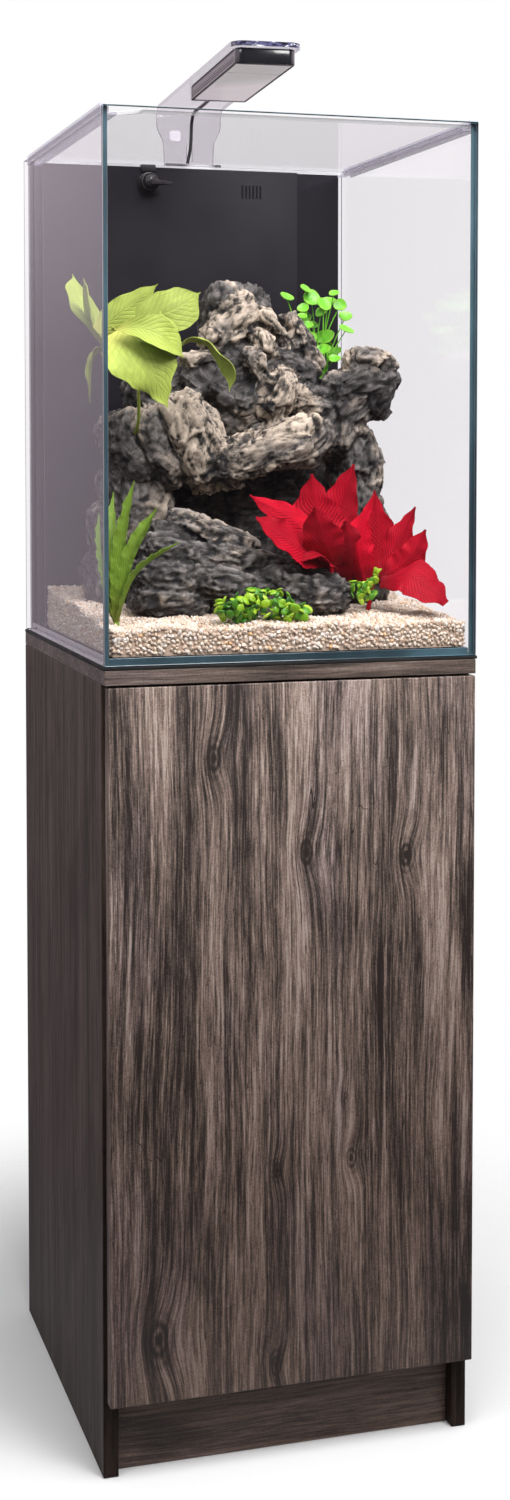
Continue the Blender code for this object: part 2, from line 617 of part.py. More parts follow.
def power_plug():
    """A small two-pin plug-in supply, lying behind the cabinet."""
    x, y, z = CORD_ROUTE[-1]
    start = x + GAP
    body = box("power_plug", (start + 0.014, y - 0.017, 0), (start + 0.066, y + 0.017, 0.026), "black_plastic", 0.003)
    extras = [cylinder("plug_boot", (start + 0.0085, y, z), (1, 0, 0), 0.0040, 0.015, None, 12, CUTTERS)]
    for side in (-1, 1):
        pin = (start + 0.066 + 0.009, y + side * 0.0095, 0.013)
        extras.append(cylinder(f"plug_pin_{side}", pin, (1, 0, 0), 0.0020, 0.019, None, 12, CUTTERS))
    for extra in extras:
        boolean(body, extra, "UNION")


def gravel_height(y):
    t = (y - FRONT_IN) / (WALL_Y - FRONT_IN)
    return GRAVEL_FRONT + (GRAVEL_BACK - GRAVEL_FRONT) * t


def gravel():
    inner = PANE_IN - GAP
    back = WALL_Y - GAP
    profile = [(FRONT_IN + 2 * GAP, TANK_FLOOR + GAP), (back, TANK_FLOOR + GAP), (back, gravel_height(back))]
    profile += [(FRONT_IN + 2 * GAP, gravel_height(FRONT_IN))]
    edge_on_x("gravel_bed", profile, -inner + GAP, inner - GAP, "gravel")


def lumpy(name, lumps, finish, voxel, roughness, keep, detail=0.045):
    """One rough closed body from overlapping lumps, cut off at the gravel."""
    shape = bmesh.new()
    for centre, radii in lumps:
        place = Matrix.Translation(centre) @ Matrix.Diagonal((*radii, 1))
        bmesh.ops.create_icosphere(shape, subdivisions=3, radius=1, matrix=place)
    rough = add(name + "_rough", mesh_of(shape, name), None, CUTTERS)
    remesh = rough.modifiers.new("Remesh", "REMESH")
    remesh.mode = "VOXEL"
    remesh.voxel_size = voxel
    graph = bpy.context.evaluated_depsgraph_get()
    shape = bmesh.new()
    shape.from_mesh(bpy.data.meshes.new_from_object(rough.evaluated_get(graph)))
    bpy.data.objects.remove(rough)
    limits = (PANE_IN - 0.004, FRONT_IN + 0.006, WALL_Y - 0.003)
    for v in shape.verts:
        swell = noise.noise(v.co / detail) + 0.5 * noise.noise(v.co / detail * 2.3)
        v.co += v.normal * swell * roughness
        v.co.x = max(-limits[0], min(limits[0], v.co.x))
        v.co.y = max(limits[1], min(limits[2], v.co.y))
    slope = (GRAVEL_BACK - GRAVEL_FRONT) / (WALL_Y - FRONT_IN)
    bed = Vector((0, 0, gravel_height(0) + 0.0006))
    cut = bmesh.ops.bisect_plane(
        shape, geom=shape.verts[:] + shape.edges[:] + shape.faces[:], plane_co=bed, plane_no=(0, slope, -1), clear_outer=True
    )
    rim = [e for e in cut["geom_cut"] if isinstance(e, bmesh.types.BMEdge)]
    bmesh.ops.contextual_create(shape, geom=rim)
    bmesh.ops.triangulate(shape, faces=shape.faces)
    body = add(name, mesh_of(shape, name), finish)
    thin = body.modifiers.new("Decimate", "DECIMATE")
    thin.ratio = keep
    return body


ARCH_LUMPS = (
    ((-0.002, 0.000, 1.190), (0.033, 0.032, 0.052)),  # peak
    ((0.016, -0.010, 1.133), (0.066, 0.060, 0.054)),
    ((0.066, -0.025, 1.112), (0.038, 0.052, 0.066)),  # right shoulder
    ((-0.078, 0.005, 1.108), (0.050, 0.050, 0.048)),  # left shoulder
    ((-0.087, -0.020, 1.056), (0.066, 0.060, 0.044)),
    ((0.021, -0.050, 1.066), (0.072, 0.058, 0.046)),  # brow over the cave
    ((0.112, -0.045, 1.083), (0.040, 0.040, 0.054)),
    ((0.141, -0.060, 1.127), (0.032, 0.032, 0.031)),  # tip of the right arm
    ((0.124, -0.050, 1.030), (0.032, 0.034, 0.058)),
    ((0.134, -0.040, 0.948), (0.034, 0.034, 0.075)),  # right leg
    ((-0.125, -0.005, 0.985), (0.036, 0.038, 0.066)),
    ((-0.131, 0.000, 0.920), (0.038, 0.040, 0.060)),  # left leg
    ((0.010, 0.060, 1.000), (0.110, 0.036, 0.140)),  # back wall of the cave
)
LEDGE_LUMPS = (
    ((-0.080, -0.088, 0.925), (0.050, 0.034, 0.045)),
    ((-0.072, -0.092, 0.952), (0.044, 0.028, 0.036)),
    ((-0.025, -0.110, 0.918), (0.066, 0.034, 0.038)),
    ((0.039, -0.132, 0.898), (0.046, 0.030, 0.032)),
)


def plant(name, lumps, finish):
    return lumpy(name, lumps, finish, 0.011, 0.003, 0.35)


def contents():
    gravel()
    lumpy("rock_arch", ARCH_LUMPS, "rock", 0.015, 0.006, 0.55)
    lumpy("rock_ledge", LEDGE_LUMPS, "rock", 0.011, 0.004, 0.5, 0.03)
    plant(
        "plant_broadleaf",
        (((-0.125, -0.125, 1.170), (0.055, 0.045, 0.058)), ((-0.085, -0.120, 1.150), (0.050, 0.040, 0.055))),
        "lime_leaf",
    )
    plant("plant_roundleaf", (((0.112, 0.035, 1.200), (0.045, 0.035, 0.045)),), "green_leaf")
    plant(
        "plant_red",
        (((0.085, -0.135, 0.975), (0.070, 0.038, 0.055)), ((0.135, -0.140, 0.955), (0.045, 0.040, 0.060))),
        "red_leaf",
    )
    plant("plant_sword", (((-0.160, -0.110, 0.945), (0.024, 0.040, 0.085)),), "green_leaf")
    plant("plant_carpet", (((-0.018, -0.190, 0.893), (0.050, 0.018, 0.024)),), "green_leaf")


cabinet()
door()
push_latch()
tank()
cover()
filter_box()
bracket()
rim_clamp()
cord(lamp())
power_plug()
contents()
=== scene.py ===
"""The looks of an aquarium on its cabinet.

Finishes for its boards, glass, filter and lamp, and its cord, gravel, rocks and plants.
"""

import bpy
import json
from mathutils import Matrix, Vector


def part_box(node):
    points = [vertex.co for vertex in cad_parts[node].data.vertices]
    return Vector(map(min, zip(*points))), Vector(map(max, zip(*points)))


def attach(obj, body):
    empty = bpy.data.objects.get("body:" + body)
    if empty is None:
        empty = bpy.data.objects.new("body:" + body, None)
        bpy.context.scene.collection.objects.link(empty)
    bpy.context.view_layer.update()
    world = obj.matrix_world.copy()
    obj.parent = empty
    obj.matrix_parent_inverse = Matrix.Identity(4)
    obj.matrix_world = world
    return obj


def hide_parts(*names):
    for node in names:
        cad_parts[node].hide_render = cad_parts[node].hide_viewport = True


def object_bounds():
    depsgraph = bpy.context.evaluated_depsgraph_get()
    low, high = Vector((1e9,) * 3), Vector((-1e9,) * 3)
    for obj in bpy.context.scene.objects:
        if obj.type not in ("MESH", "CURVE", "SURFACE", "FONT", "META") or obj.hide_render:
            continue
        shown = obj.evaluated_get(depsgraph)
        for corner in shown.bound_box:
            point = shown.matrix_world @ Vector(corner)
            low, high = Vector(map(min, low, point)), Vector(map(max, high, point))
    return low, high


bl_info = {
    "name": "Aquarium on Stand",
    "version": (1, 0, 0),
    "blender": (4, 5, 0),
    "location": "3D View > Sidebar > Aquarium",
    "description": "Finishes and soft pieces of a glass tank on a cabinet, built around its fixed frame",
    "category": "Object",
}

import json
import math
import random

import bmesh
import bpy
import numpy as np
from bpy.props import FloatProperty, FloatVectorProperty, IntProperty, PointerProperty
from mathutils import Matrix, Vector, noise

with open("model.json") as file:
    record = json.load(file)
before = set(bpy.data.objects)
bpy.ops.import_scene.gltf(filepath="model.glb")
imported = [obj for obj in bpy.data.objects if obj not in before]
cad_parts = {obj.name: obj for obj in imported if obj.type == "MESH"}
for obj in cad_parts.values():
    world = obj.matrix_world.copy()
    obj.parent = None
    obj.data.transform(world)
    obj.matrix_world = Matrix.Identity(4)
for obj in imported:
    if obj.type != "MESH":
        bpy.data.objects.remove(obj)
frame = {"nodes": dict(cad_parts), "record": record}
CAD_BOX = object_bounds()
NODES = frame["nodes"]
BODY_OF = {node: body for body, nodes in frame["record"]["behaviour"]["bodies"].items() for node in nodes}
STAND = "stand"
LAMP = "lamp"


# Settings ---------------------------------------------------------------


def colour(name, description, default):
    return FloatVectorProperty(
        name=name, description=description, default=default, subtype="COLOR", size=3, min=0.0, max=1.0
    )


def number(name, description, default, **more):
    return FloatProperty(name=name, description=description, default=default, **more)


def length(name, description, default):
    return number(name, description, default, unit="LENGTH", precision=5)


class StageSettings(bpy.types.PropertyGroup):
    """The floor, the light and the camera."""

    floor_size: length("Floor size", "Side of the square floor", 14.0)
    floor_edge: length("Floor edge", "How far from the object the floor fades to white", 0.95)
    floor_colour: colour("Floor colour", "Colour of the floor", (0.96, 0.96, 0.96))
    floor_bounce: number("Floor bounce", "Share of the light that the floor throws back", 0.12)
    ambient: number("Ambient", "Strength of the light from all round", 0.36, min=0)
    key: number("Key", "Power of the overhead softbox, in watts", 17.0, min=0)
    front_gloss: number("Front gloss", "Brightness mirrored from the front", 0.25)
    back_gloss: number("Back gloss", "Brightness mirrored from behind", 1.55)
    side_gloss: number("Side gloss", "Brightness added at both sides", 1.6)
    lens: number("Lens", "Focal length in millimetres", 48.99, min=1)
    camera: FloatVectorProperty(
        name="Camera", description="Where the camera stands", default=(
            -0.6384, -2.2086, 1.0681
        ), subtype="XYZ"
    )
    turn: number("Turn", "How far the camera is turned to the right", 0.2909, subtype="ANGLE"
    )
    tilt: number("Tilt", "How far the camera looks down", 0.0491, subtype="ANGLE")
    drop: number("Drop", "Vertical lens shift, as a share of the height", -0.1409)


class WoodSettings(bpy.types.PropertyGroup):
    """The cabinet's wood-grain foil."""

    light: colour("Light grain", "The palest streaks", (0.42, 0.34, 0.295))
    middle: colour("Middle grain", "The ground between the streaks", (0.150, 0.108, 0.090))
    dark: colour("Dark grain", "The darkest streaks and the knots", (0.018, 0.011, 0.009))
    side_tone: number("Side tone", "Brightness of the side boards", 0.68, min=0)


class GlassSettings(bpy.types.PropertyGroup):
    """The tank's glass."""

    tint: colour("Tint", "What a pane lets through", (0.990, 0.984, 0.992))
    edge: colour("Edge", "The sawn edges", (0.042, 0.082, 0.100))
    gloss: number("Gloss", "Share of the real reflection kept", 0.45, min=0, max=1)


class LampSettings(bpy.types.PropertyGroup):
    """The lamp and its cord."""

    cord_diameter: length("Cord diameter", "Thickness of the lamp's cord", 0.004)
    cord_colour: colour("Cord colour", "The cord's jacket", (0.030, 0.034, 0.034))


class GravelSettings(bpy.types.PropertyGroup):
    """The gravel bed."""

    grain: length("Grain", "Typical size of a pebble", 0.0058)
    spacing: length("Spacing", "Least distance between two pebbles", 0.0033)
    front_height: length("Front height", "Height of the gravel's surface at the front pane", 0.876)
    seed: IntProperty(name="Seed", description="Seed for places and shapes", default=3)


class RockSettings(bpy.types.PropertyGroup):
    """The two rocks."""

    detail: length("Detail", "Edge length of the fine mesh", 0.0023)
    relief: length("Relief", "Depth of the ridges", 0.0032)
    dark: colour("Dark stone", "In the creases", (0.020, 0.019, 0.020))
    middle: colour("Grey stone", "Most of the rock", (0.112, 0.104, 0.097))
    light: colour("Pale stone", "On the ridges", (0.42, 0.35, 0.275))


class PlantSettings(bpy.types.PropertyGroup):
    """The artificial plants."""

    lime: colour("Lime", "The broad leaves", (0.43, 0.54, 0.095))
    green: colour("Green", "The round leaves", (0.17, 0.55, 0.03))
    red: colour("Red", "The red leaves", (0.55, 0.002, 0.020))
    cloth: length("Leaf thickness", "Thickness of a cloth leaf", 0.0006)


class AquariumSettings(bpy.types.PropertyGroup):
    """All of the aquarium's settings."""

    stage: PointerProperty(type=StageSettings)
    wood: PointerProperty(type=WoodSettings)
    glass: PointerProperty(type=GlassSettings)
    lamp: PointerProperty(type=LampSettings)
    gravel: PointerProperty(type=GravelSettings)
    rock: PointerProperty(type=RockSettings)
    plants: PointerProperty(type=PlantSettings)


# Materials --------------------------------------------------------------


class Tree:
    """Short ways to add and link the nodes of a tree."""

    def __init__(self, tree):
        self.tree = tree

    def add(self, kind, inputs=None, **settings):
        node = self.tree.nodes.new(kind)
        for key, value in settings.items():
            setattr(node, key, value)
        for key, value in (inputs or {}).items():
            self.feed(node.inputs[key], value)
        return node

    def feed(self, socket, value):
        if isinstance(value, bpy.types.NodeSocket):
            self.tree.links.new(value, socket)
        elif socket.type == "RGBA" and len(value) == 3:
            socket.default_value = (*value, 1.0)
        else:
            socket.default_value = value

    def math(self, operation, a, b=0.5, clamp=False):
        node = self.add("ShaderNodeMath", {0: a, 1: b}, operation=operation, use_clamp=clamp)
        return node.outputs[0]

    def times(self, a, b, clamp=False):
        return self.math("MULTIPLY", a, b, clamp)

    def plus(self, a, b):
        return self.math("ADD", a, b)

    def minus(self, a, b):
        return self.math("SUBTRACT", a, b)

    def span(self, value, low, high, to_low=0.0, to_high=1.0, ease="SMOOTHSTEP"):
        inputs = {"Value": value, "From Min": low, "From Max": high, "To Min": to_low, "To Max": to_high}
        return self.add("ShaderNodeMapRange", inputs, interpolation_type=ease).outputs[0]

    def ramp(self, value, *stops):
        node = self.add("ShaderNodeValToRGB", {0: value})
        elements = node.color_ramp.elements
        while len(elements) < len(stops):
            elements.new(0.5)
        for element, (place, tone) in zip(elements, stops):
            element.position = place
            element.color = (*tone, 1.0)
        return node.outputs[0]


class Finish(Tree):
    """One node material. point is the place on the piece, in metres."""

    def __init__(self, name):
        self.material = bpy.data.materials.new(name)
        self.material.use_nodes = True
        super().__init__(self.material.node_tree)
        self.shader = self.tree.nodes["Principled BSDF"]
        self.output = self.tree.nodes["Material Output"]
        self.point = self.add("ShaderNodeTexCoord").outputs["Object"]

    def split(self, point=None):
        return self.add("ShaderNodeSeparateXYZ", {0: point or self.point}).outputs

    def vector(self, x=0.0, y=0.0, z=0.0):
        return self.add("ShaderNodeCombineXYZ", {0: x, 1: y, 2: z}).outputs[0]

    def stretched(self, scale, point=None, turn=(0, 0, 0)):
        inputs = {"Vector": point or self.point, "Scale": scale, "Rotation": turn}
        return self.add("ShaderNodeMapping", inputs).outputs[0]

    def noise(self, scale, detail=3.0, roughness=0.5, point=None, distortion=0.0):
        inputs = {"Vector": point or self.point, "Scale": scale, "Detail": detail}
        inputs.update({"Roughness": roughness, "Distortion": distortion})
        return self.add("ShaderNodeTexNoise", inputs).outputs["Fac"]

    def cells(self, scale, point=None, output="Distance", feature="F1"):
        inputs = {"Vector": point or self.point, "Scale": scale}
        return self.add("ShaderNodeTexVoronoi", inputs, feature=feature).outputs[output]

    def mix(self, share, a, b, blend="MIX"):
        node = self.add("ShaderNodeMix", data_type="RGBA", blend_type=blend)
        for socket, value in zip((node.inputs[0], node.inputs[6], node.inputs[7]), (share, a, b)):
            self.feed(socket, value)
        return node.outputs[2]

    def bump(self, height, depth, strength=1.0):
        inputs = {"Height": height, "Distance": depth, "Strength": strength}
        return self.add("ShaderNodeBump", inputs).outputs[0]

    def attribute(self, name):
        return self.add("ShaderNodeAttribute", attribute_name=name).outputs["Fac"]

    def set(self, base=None, roughness=None, normal=None, **plain):
        for key, value in (("Base Color", base), ("Roughness", roughness), ("Normal", normal)):
            if value is not None:
                self.feed(self.shader.inputs[key], value)
        for key, value in plain.items():
            self.shader.inputs[key.replace("_", " ")].default_value = value
        return self.material


def around(tone, by):
    """The colour made brighter or darker."""
    return tuple(min(1.0, c * by) for c in tone)


def moulded(name, tone, roughness=0.45, grain=900.0, depth=0.00003, **plain):
    """Moulded plastic: a faint orange-peel surface, and a roughness that drifts."""
    finish = Finish(name)
    drift = finish.noise(25.0, 2.0)
    shade = finish.mix(drift, around(tone, 0.85), around(tone, 1.15))
    rough = finish.span(drift, 0.3, 0.7, roughness * 0.85, roughness * 1.15)
    normal = finish.bump(finish.noise(grain, 2.0), depth)
    return finish.set(shade, rough, normal, **plain)


def metal(name, tone, roughness=0.3, along=(900.0, 30.0, 900.0)):
    """Brushed metal, its scratches drawn out along one axis."""
    finish = Finish(name)
    scratches = finish.noise(1.0, 3.0, point=finish.stretched(along))
    shade = finish.mix(scratches, around(tone, 0.8), around(tone, 1.1))
    rough = finish.span(scratches, 0.2, 0.8, roughness * 0.8, roughness * 1.25)
    return finish.set(shade, rough, finish.bump(scratches, 0.00002), Metallic=1.0)


KNOTS = (
    (-0.087, 0.743, 0.010, 1.0),
    (0.012, 0.641, 0.010, 0.8),
    (0.122, 0.632, 0.009, 1.0),
    (0.062, 0.315, 0.008, 0.8),
    (-0.019, 0.310, 0.006, 0.7),
    (-0.146, 0.147, 0.014, 1.0),
    (-0.020, 0.103, 0.008, 0.8),
    (0.056, 0.379, 0.005, 0.4),
)


def wood(name, across, along, tone=1.0, contrast=1.0, knots=(), seed=0.0, foot=1.0, shine=0.35):
    """Foil printed as rough-sawn wood. across and along are the axes over and with the grain, 0 to 2. foot
    is painted shade: the share of the colour left at the bottom, darker towards the floor.
    """
    settings = bpy.context.scene.aquarium.wood
    finish = Finish(name)
    axes = finish.split()
    depth = axes[3 - across - along]
    u, v = axes[across], axes[along]
    wander = finish.noise(1.0, 2.0, point=finish.vector(finish.times(u, 7.0), finish.times(v, 2.2), seed))
    field = finish.plus(u, finish.times(wander, 0.026))
    dark = None
    for x, z, size, strength in knots:
        du = finish.times(finish.minus(u, x), 1 / (1.9 * size))
        dv = finish.times(finish.minus(v, z), 1 / (3.6 * size))
        square = finish.plus(finish.times(du, du), finish.times(dv, dv))
        swell = finish.math("EXPONENT", finish.times(square, -1.0))
        field = finish.plus(field, finish.times(swell, 1.15 * size * strength))
        ripple = finish.math("SINE", finish.times(finish.math("SQRT", square, 0), 24.0))
        core = finish.math("EXPONENT", finish.times(square, -4.5))
        core = finish.times(core, finish.plus(finish.times(ripple, 0.30), 0.55))
        core = finish.times(core, 0.85 * strength)
        dark = core if dark is None else finish.math("MAXIMUM", dark, core)

    def streaks(width, run, detail, roughness):
        point = finish.vector(
            finish.times(field, 1 / width), finish.times(v, 1 / run), finish.times(depth, 1 / width)
        )
        return finish.noise(
            1.0,
            detail,
            roughness,
            point=finish.add("ShaderNodeVectorMath", {0: point, 1: (seed, seed * 2, 0)}).outputs[0],
        )

    broad = streaks(0.034, 0.45, 3.0, 0.5)
    lines = streaks(0.0044, 0.20, 4.0, 0.70)
    hairs = streaks(0.0013, 0.030, 2.0, 0.6)
    speck = finish.noise(650.0, 2.0, 0.7)
    total = None
    for part, share in ((broad, 0.24), (lines, 0.42), (hairs, 0.22), (speck, 0.12)):
        part = finish.times(part, share)
        total = part if total is None else finish.plus(total, part)
    lean = finish.plus(finish.times(u, 10.0), finish.times(v, 2.4))
    patches = finish.noise(1.0, 3.0, 0.55, point=finish.vector(lean, finish.times(v, 4.2), seed + 2.3))
    total = finish.minus(total, finish.span(patches, 0.50, 0.72, 0.0, 0.050))
    ticks = finish.span(streaks(0.0024, 0.022, 2.0, 0.5), 0.66, 0.74, 0.0, 0.08)
    total = finish.minus(total, ticks)
    cracks = finish.span(streaks(0.030, 0.30, 1.0, 0.5), 0.4985, 0.5000, 0.0, 1.0)
    cracks = finish.times(cracks, finish.span(streaks(0.030, 0.30, 1.0, 0.5), 0.5000, 0.5015, 1.0, 0.0))
    cracks = finish.times(cracks, finish.span(finish.noise(5.0, 1.0), 0.50, 0.62, 0.0, 0.16))
    total = finish.minus(total, cracks)
    saw = finish.noise(
        1.0,
        2.0,
        0.5,
        point=finish.vector(
            finish.times(finish.minus(v, finish.times(u, 0.45)), 260.0), finish.times(u, 9.0), seed
        ),
    )
    total = finish.minus(total, finish.span(saw, 0.70, 0.78, 0.0, 0.035))
    if dark is not None:
        total = finish.minus(total, finish.times(dark, 0.20))
    reach = 0.098 / contrast
    stops = (
        (0.5 - reach, settings.dark),
        (0.5 - reach * 0.4, around(settings.middle, 0.5)),
        (0.5, settings.middle),
    )
    stops += ((0.5 + reach * 0.5, around(settings.middle, 1.75)), (0.5 + reach, settings.light))
    shade = finish.ramp(total, *((place, around(c, tone)) for place, c in stops))
    grey = finish.span(
        finish.noise(1.0, 2.0, point=finish.vector(finish.times(u, 14.0), finish.times(v, 3.0), seed + 9)),
        0.50,
        0.68,
        0.0,
        0.35,
    )
    shade = finish.mix(grey, shade, finish.mix(1.0, shade, (0.90, 0.92, 1.12), "MULTIPLY"))
    # painted shade: foot darkens the colour towards the bottom, standing in for the light falling off down
    # the cabinet
    low = finish.span(axes[2], 0.10, 0.78, 1.0, 0.0)
    shade = finish.mix(low, shade, finish.mix(1.0, shade, (foot, foot * 0.92, foot * 0.89), "MULTIPLY"))
    rough = finish.span(total, 0.35, 0.65, 0.62, 0.48)
    return finish.set(shade, rough, finish.bump(total, 0.0009, 0.7), Specular_IOR_Level=shine)


def see_through(name, tint, gloss, lean=5.0, floor=0.04):
    """A clear sheet's broad face: it shows what is behind it, and mirrors more the flatter it is seen."""
    finish = Finish(name)
    finish.tree.nodes.remove(finish.shader)
    facing = finish.add("ShaderNodeLayerWeight", {"Blend": 0.5}).outputs["Facing"]
    rise = finish.times(finish.math("POWER", facing, lean), 1.0 - floor)
    share = finish.times(finish.plus(rise, floor), gloss, clamp=True)
    smear = finish.noise(6.0, 2.0)
    clear = finish.mix(smear, around(tint, 0.995), around(tint, 1.0))
    behind = finish.add("ShaderNodeBsdfTransparent", {"Color": clear})
    mirror = finish.add("ShaderNodeBsdfGlossy", {"Color": (0.96, 0.96, 1.0), "Roughness": 0.0})
    both = finish.add("ShaderNodeMixShader", {0: share, 1: behind.outputs[0], 2: mirror.outputs[0]})
    finish.tree.links.new(both.outputs[0], finish.output.inputs["Surface"])
    return finish.material


def sawn_edge(name, tone, roughness=0.18):
    """A clear sheet's edge, dark with the colour of its whole width."""
    finish = Finish(name)
    bands = finish.noise(1.0, 3.0, point=finish.stretched((12.0, 12.0, 6.0)))
    shade = finish.ramp(bands, (0.3, around(tone, 0.55)), (0.5, tone), (0.7, around(tone, 1.9)))
    return finish.set(shade, roughness, finish.bump(finish.noise(700.0), 0.00004), Coat_Weight=0.6)


# Mesh helpers -----------------------------------------------------------


def piece(name, mesh, body, replaces=(), materials=()):
    """Links a finished mesh as a piece that moves with a body."""
    mesh.name = name
    obj = bpy.data.objects.new(name, mesh)
    bpy.context.scene.collection.objects.link(obj)
    if materials:
        kept = [face.material_index for face in mesh.polygons]
        mesh.materials.clear()
        for material in materials:
            mesh.materials.append(material)
        mesh.polygons.foreach_set("material_index", [min(i, len(materials) - 1) for i in kept])
    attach(obj, body)
    if replaces:
        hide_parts(*replaces)
    return obj


def settled(obj):
    """The object's mesh with its modifiers applied and its place in it. The object is removed."""
    bpy.context.view_layer.update()
    graph = bpy.context.evaluated_depsgraph_get()
    mesh = bpy.data.meshes.new_from_object(
        obj.evaluated_get(graph), preserve_all_data_layers=True, depsgraph=graph
    )
    mesh.transform(obj.matrix_world)
    bpy.data.objects.remove(obj)
    return mesh


def loose(name, mesh):
    """An object for modifiers to work on. settled() ends it."""
    obj = bpy.data.objects.new(name, mesh)
    bpy.context.scene.collection.objects.link(obj)
    return obj


def to_mesh(shape, name):
    mesh = bpy.data.meshes.new(name)
    shape.to_mesh(mesh)
    shape.free()
    return mesh


def merged(node):
    """A bmesh copy of a CAD part, its triangles joined into whole faces."""
    shape = bmesh.new()
    shape.from_mesh(NODES[node].data)
    bmesh.ops.remove_doubles(shape, verts=shape.verts, dist=1e-6)
    bmesh.ops.dissolve_limit(shape, angle_limit=0.01, verts=shape.verts, edges=shape.edges)
    return shape


def smooth(mesh, degrees=35):
    mesh.shade_smooth()
    mesh.set_sharp_from_angle(angle=math.radians(degrees))
    return mesh


def refined(node, material, bevel=0.0, degrees=35, segments=2):
    """A CAD part's own shape with softened edges and smooth rounds, in its place."""
    mesh = to_mesh(merged(node), node + "_work")
    if bevel:
        work = loose(node + "_work", mesh)
        edge = work.modifiers.new("Bevel", "BEVEL")
        edge.width = bevel
        edge.segments = segments
        edge.angle_limit = math.radians(degrees)
        mesh = settled(work)
    return piece("fine_" + node, smooth(mesh, degrees), BODY_OF[node], (node,), (material,))


def paint(node, material):
    """Gives a CAD part that stays its finish."""
    for slot in NODES[node].material_slots:
        slot.material = material


def clear_sheet(name, node, finishes, which):
    """A clear part with several finishes. which picks one by a face's normal and centre."""
    shape = merged(node)
    shape.normal_update()
    for f in shape.faces:
        f.material_index = which(f.normal, f.calc_center_median())
    return piece(name, to_mesh(shape, name), BODY_OF[node], (node,), finishes)


def smooth_route(points, spacing):
    """Points about spacing apart on the Catmull-Rom curve through the given points."""
    points = [Vector(p) for p in points]
    ends = [points[0] * 2 - points[1]] + points + [points[-1] * 2 - points[-2]]
    route = []
    for a, b, c, d in zip(ends, ends[1:], ends[2:], ends[3:]):
        steps = max(1, round((c - b).length / spacing))
        for i in range(steps):
            t = i / steps
            route.append(
                0.5 * (
                    2 * b + (c - a) * t + (
                        2 * a - 5 * b + 4 * c - d
                    ) * t**2 + (3 * b - a - 3 * c + d) * t**3
                )
            )
    return route + [points[-1]]


# Stage ------------------------------------------------------------------


class AQUARIUM_OT_stage(bpy.types.Operator):
    """Adds the floor, the light and the camera"""

    bl_idname = "aquarium.stage"
    bl_label = "Stage"

    def execute(self, context):
        settings = context.scene.aquarium.stage
        shape = bmesh.new()
        bmesh.ops.create_grid(shape, size=settings.floor_size / 2)
        floor = loose("floor", to_mesh(shape, "floor"))
        floor.location.z = CAD_BOX[0].z - 0.0005
        finish = Finish("pale_floor")
        shade = finish.mix(finish.noise(0.8), around(settings.floor_colour, 0.985), settings.floor_colour)
        away = finish.add("ShaderNodeVectorMath", {0: finish.point}, operation="LENGTH").outputs["Value"]
        finish.feed(
            finish.shader.inputs["Alpha"],
            finish.span(away, settings.floor_edge * 0.35, settings.floor_edge, 1.0, 0.0),
        )
        bounced = finish.add("ShaderNodeLightPath").outputs["Is Diffuse Ray"]
        shade = finish.mix(bounced, shade, around(settings.floor_colour, settings.floor_bounce))
        floor.data.materials.append(finish.set(shade, 0.9))
        self.world(context, settings)
        for place, aim, size, power in (
            ((0.1, -0.8, 2.4), (0.0, 0.0, 1.15), (1.1, 0.9), settings.key * 0.85),
            ((-1.6, -1.1, 2.4), (0.0, 0.0, 1.25), (0.8, 0.8), settings.key * 0.22),
            ((0.9, -2.1, 2.5), (0.0, 0.0, 1.25), (1.0, 0.8), settings.key * 0.80),
        ):
            self.softbox(context, place, aim, size, power)
        self.add_camera(context, settings)
        context.scene.view_settings.view_transform = "Standard"
        return {"FINISHED"}

    def world(self, context, settings):
        """White behind the object, and a softer light on it."""
        world = bpy.data.worlds.new("studio")
        world.use_nodes = True
        sky = Tree(world.node_tree)
        path = sky.add("ShaderNodeLightPath").outputs
        way = sky.add("ShaderNodeTexCoord").outputs["Generated"]
        x, y, z = sky.add("ShaderNodeSeparateXYZ", {0: way}).outputs
        stops = ((0.40, 0.28), (0.52, 0.42), (0.56, 0.62))
        tones = [(place, (shade, shade * 0.86, shade * 0.94)) for place, shade in stops]
        tones.append((1.0, (1.0, 1.0, 1.0)))
        rise = sky.ramp(sky.span(z, -1.0, 1.0, ease="LINEAR"), *tones)
        depth = sky.span(y, -0.4, 0.6, settings.front_gloss, settings.back_gloss, "LINEAR")
        sides = sky.span(sky.math("ABSOLUTE", x), 0.86, 0.93, 0.0, settings.side_gloss, "LINEAR")
        mirrored = sky.add("ShaderNodeBackground", {"Color": rise, "Strength": sky.plus(depth, sides)})
        white = sky.add("ShaderNodeBackground", {"Color": (1.0, 1.0, 1.0)})
        back = sky.tree.nodes["Background"]
        sky.feed(back.inputs["Color"], (0.98, 0.97, 1.0))
        sky.feed(back.inputs["Strength"], sky.span(z, -0.05, 0.25, 0.02, settings.ambient, "LINEAR"))
        last = back.outputs[0]
        for ray, other in (("Is Glossy Ray", mirrored), ("Is Camera Ray", white)):
            inputs = {0: path[ray], 1: last, 2: other.outputs[0]}
            last = sky.add("ShaderNodeMixShader", inputs).outputs[0]
        sky.feed(sky.tree.nodes["World Output"].inputs["Surface"], last)
        context.scene.world = world

    def softbox(self, context, place, aim, size, power):
        data = bpy.data.lights.new("softbox", "AREA")
        data.shape = "RECTANGLE"
        data.size, data.size_y = size
        data.energy = power
        data.spread = math.radians(100)
        light = bpy.data.objects.new("softbox", data)
        light.location = place
        light.rotation_euler = (Vector(aim) - Vector(place)).to_track_quat("-Z", "Y").to_euler()
        context.scene.collection.objects.link(light)

    def add_camera(self, context, settings):
        data = bpy.data.cameras.new("camera")
        data.lens = settings.lens
        data.shift_y = settings.drop
        camera = bpy.data.objects.new("camera", data)
        camera.location = settings.camera
        camera.rotation_euler = (math.pi / 2 - settings.tilt, 0, -settings.turn)
        context.scene.collection.objects.link(camera)
        context.scene.camera = camera


# Cord -------------------------------------------------------------------

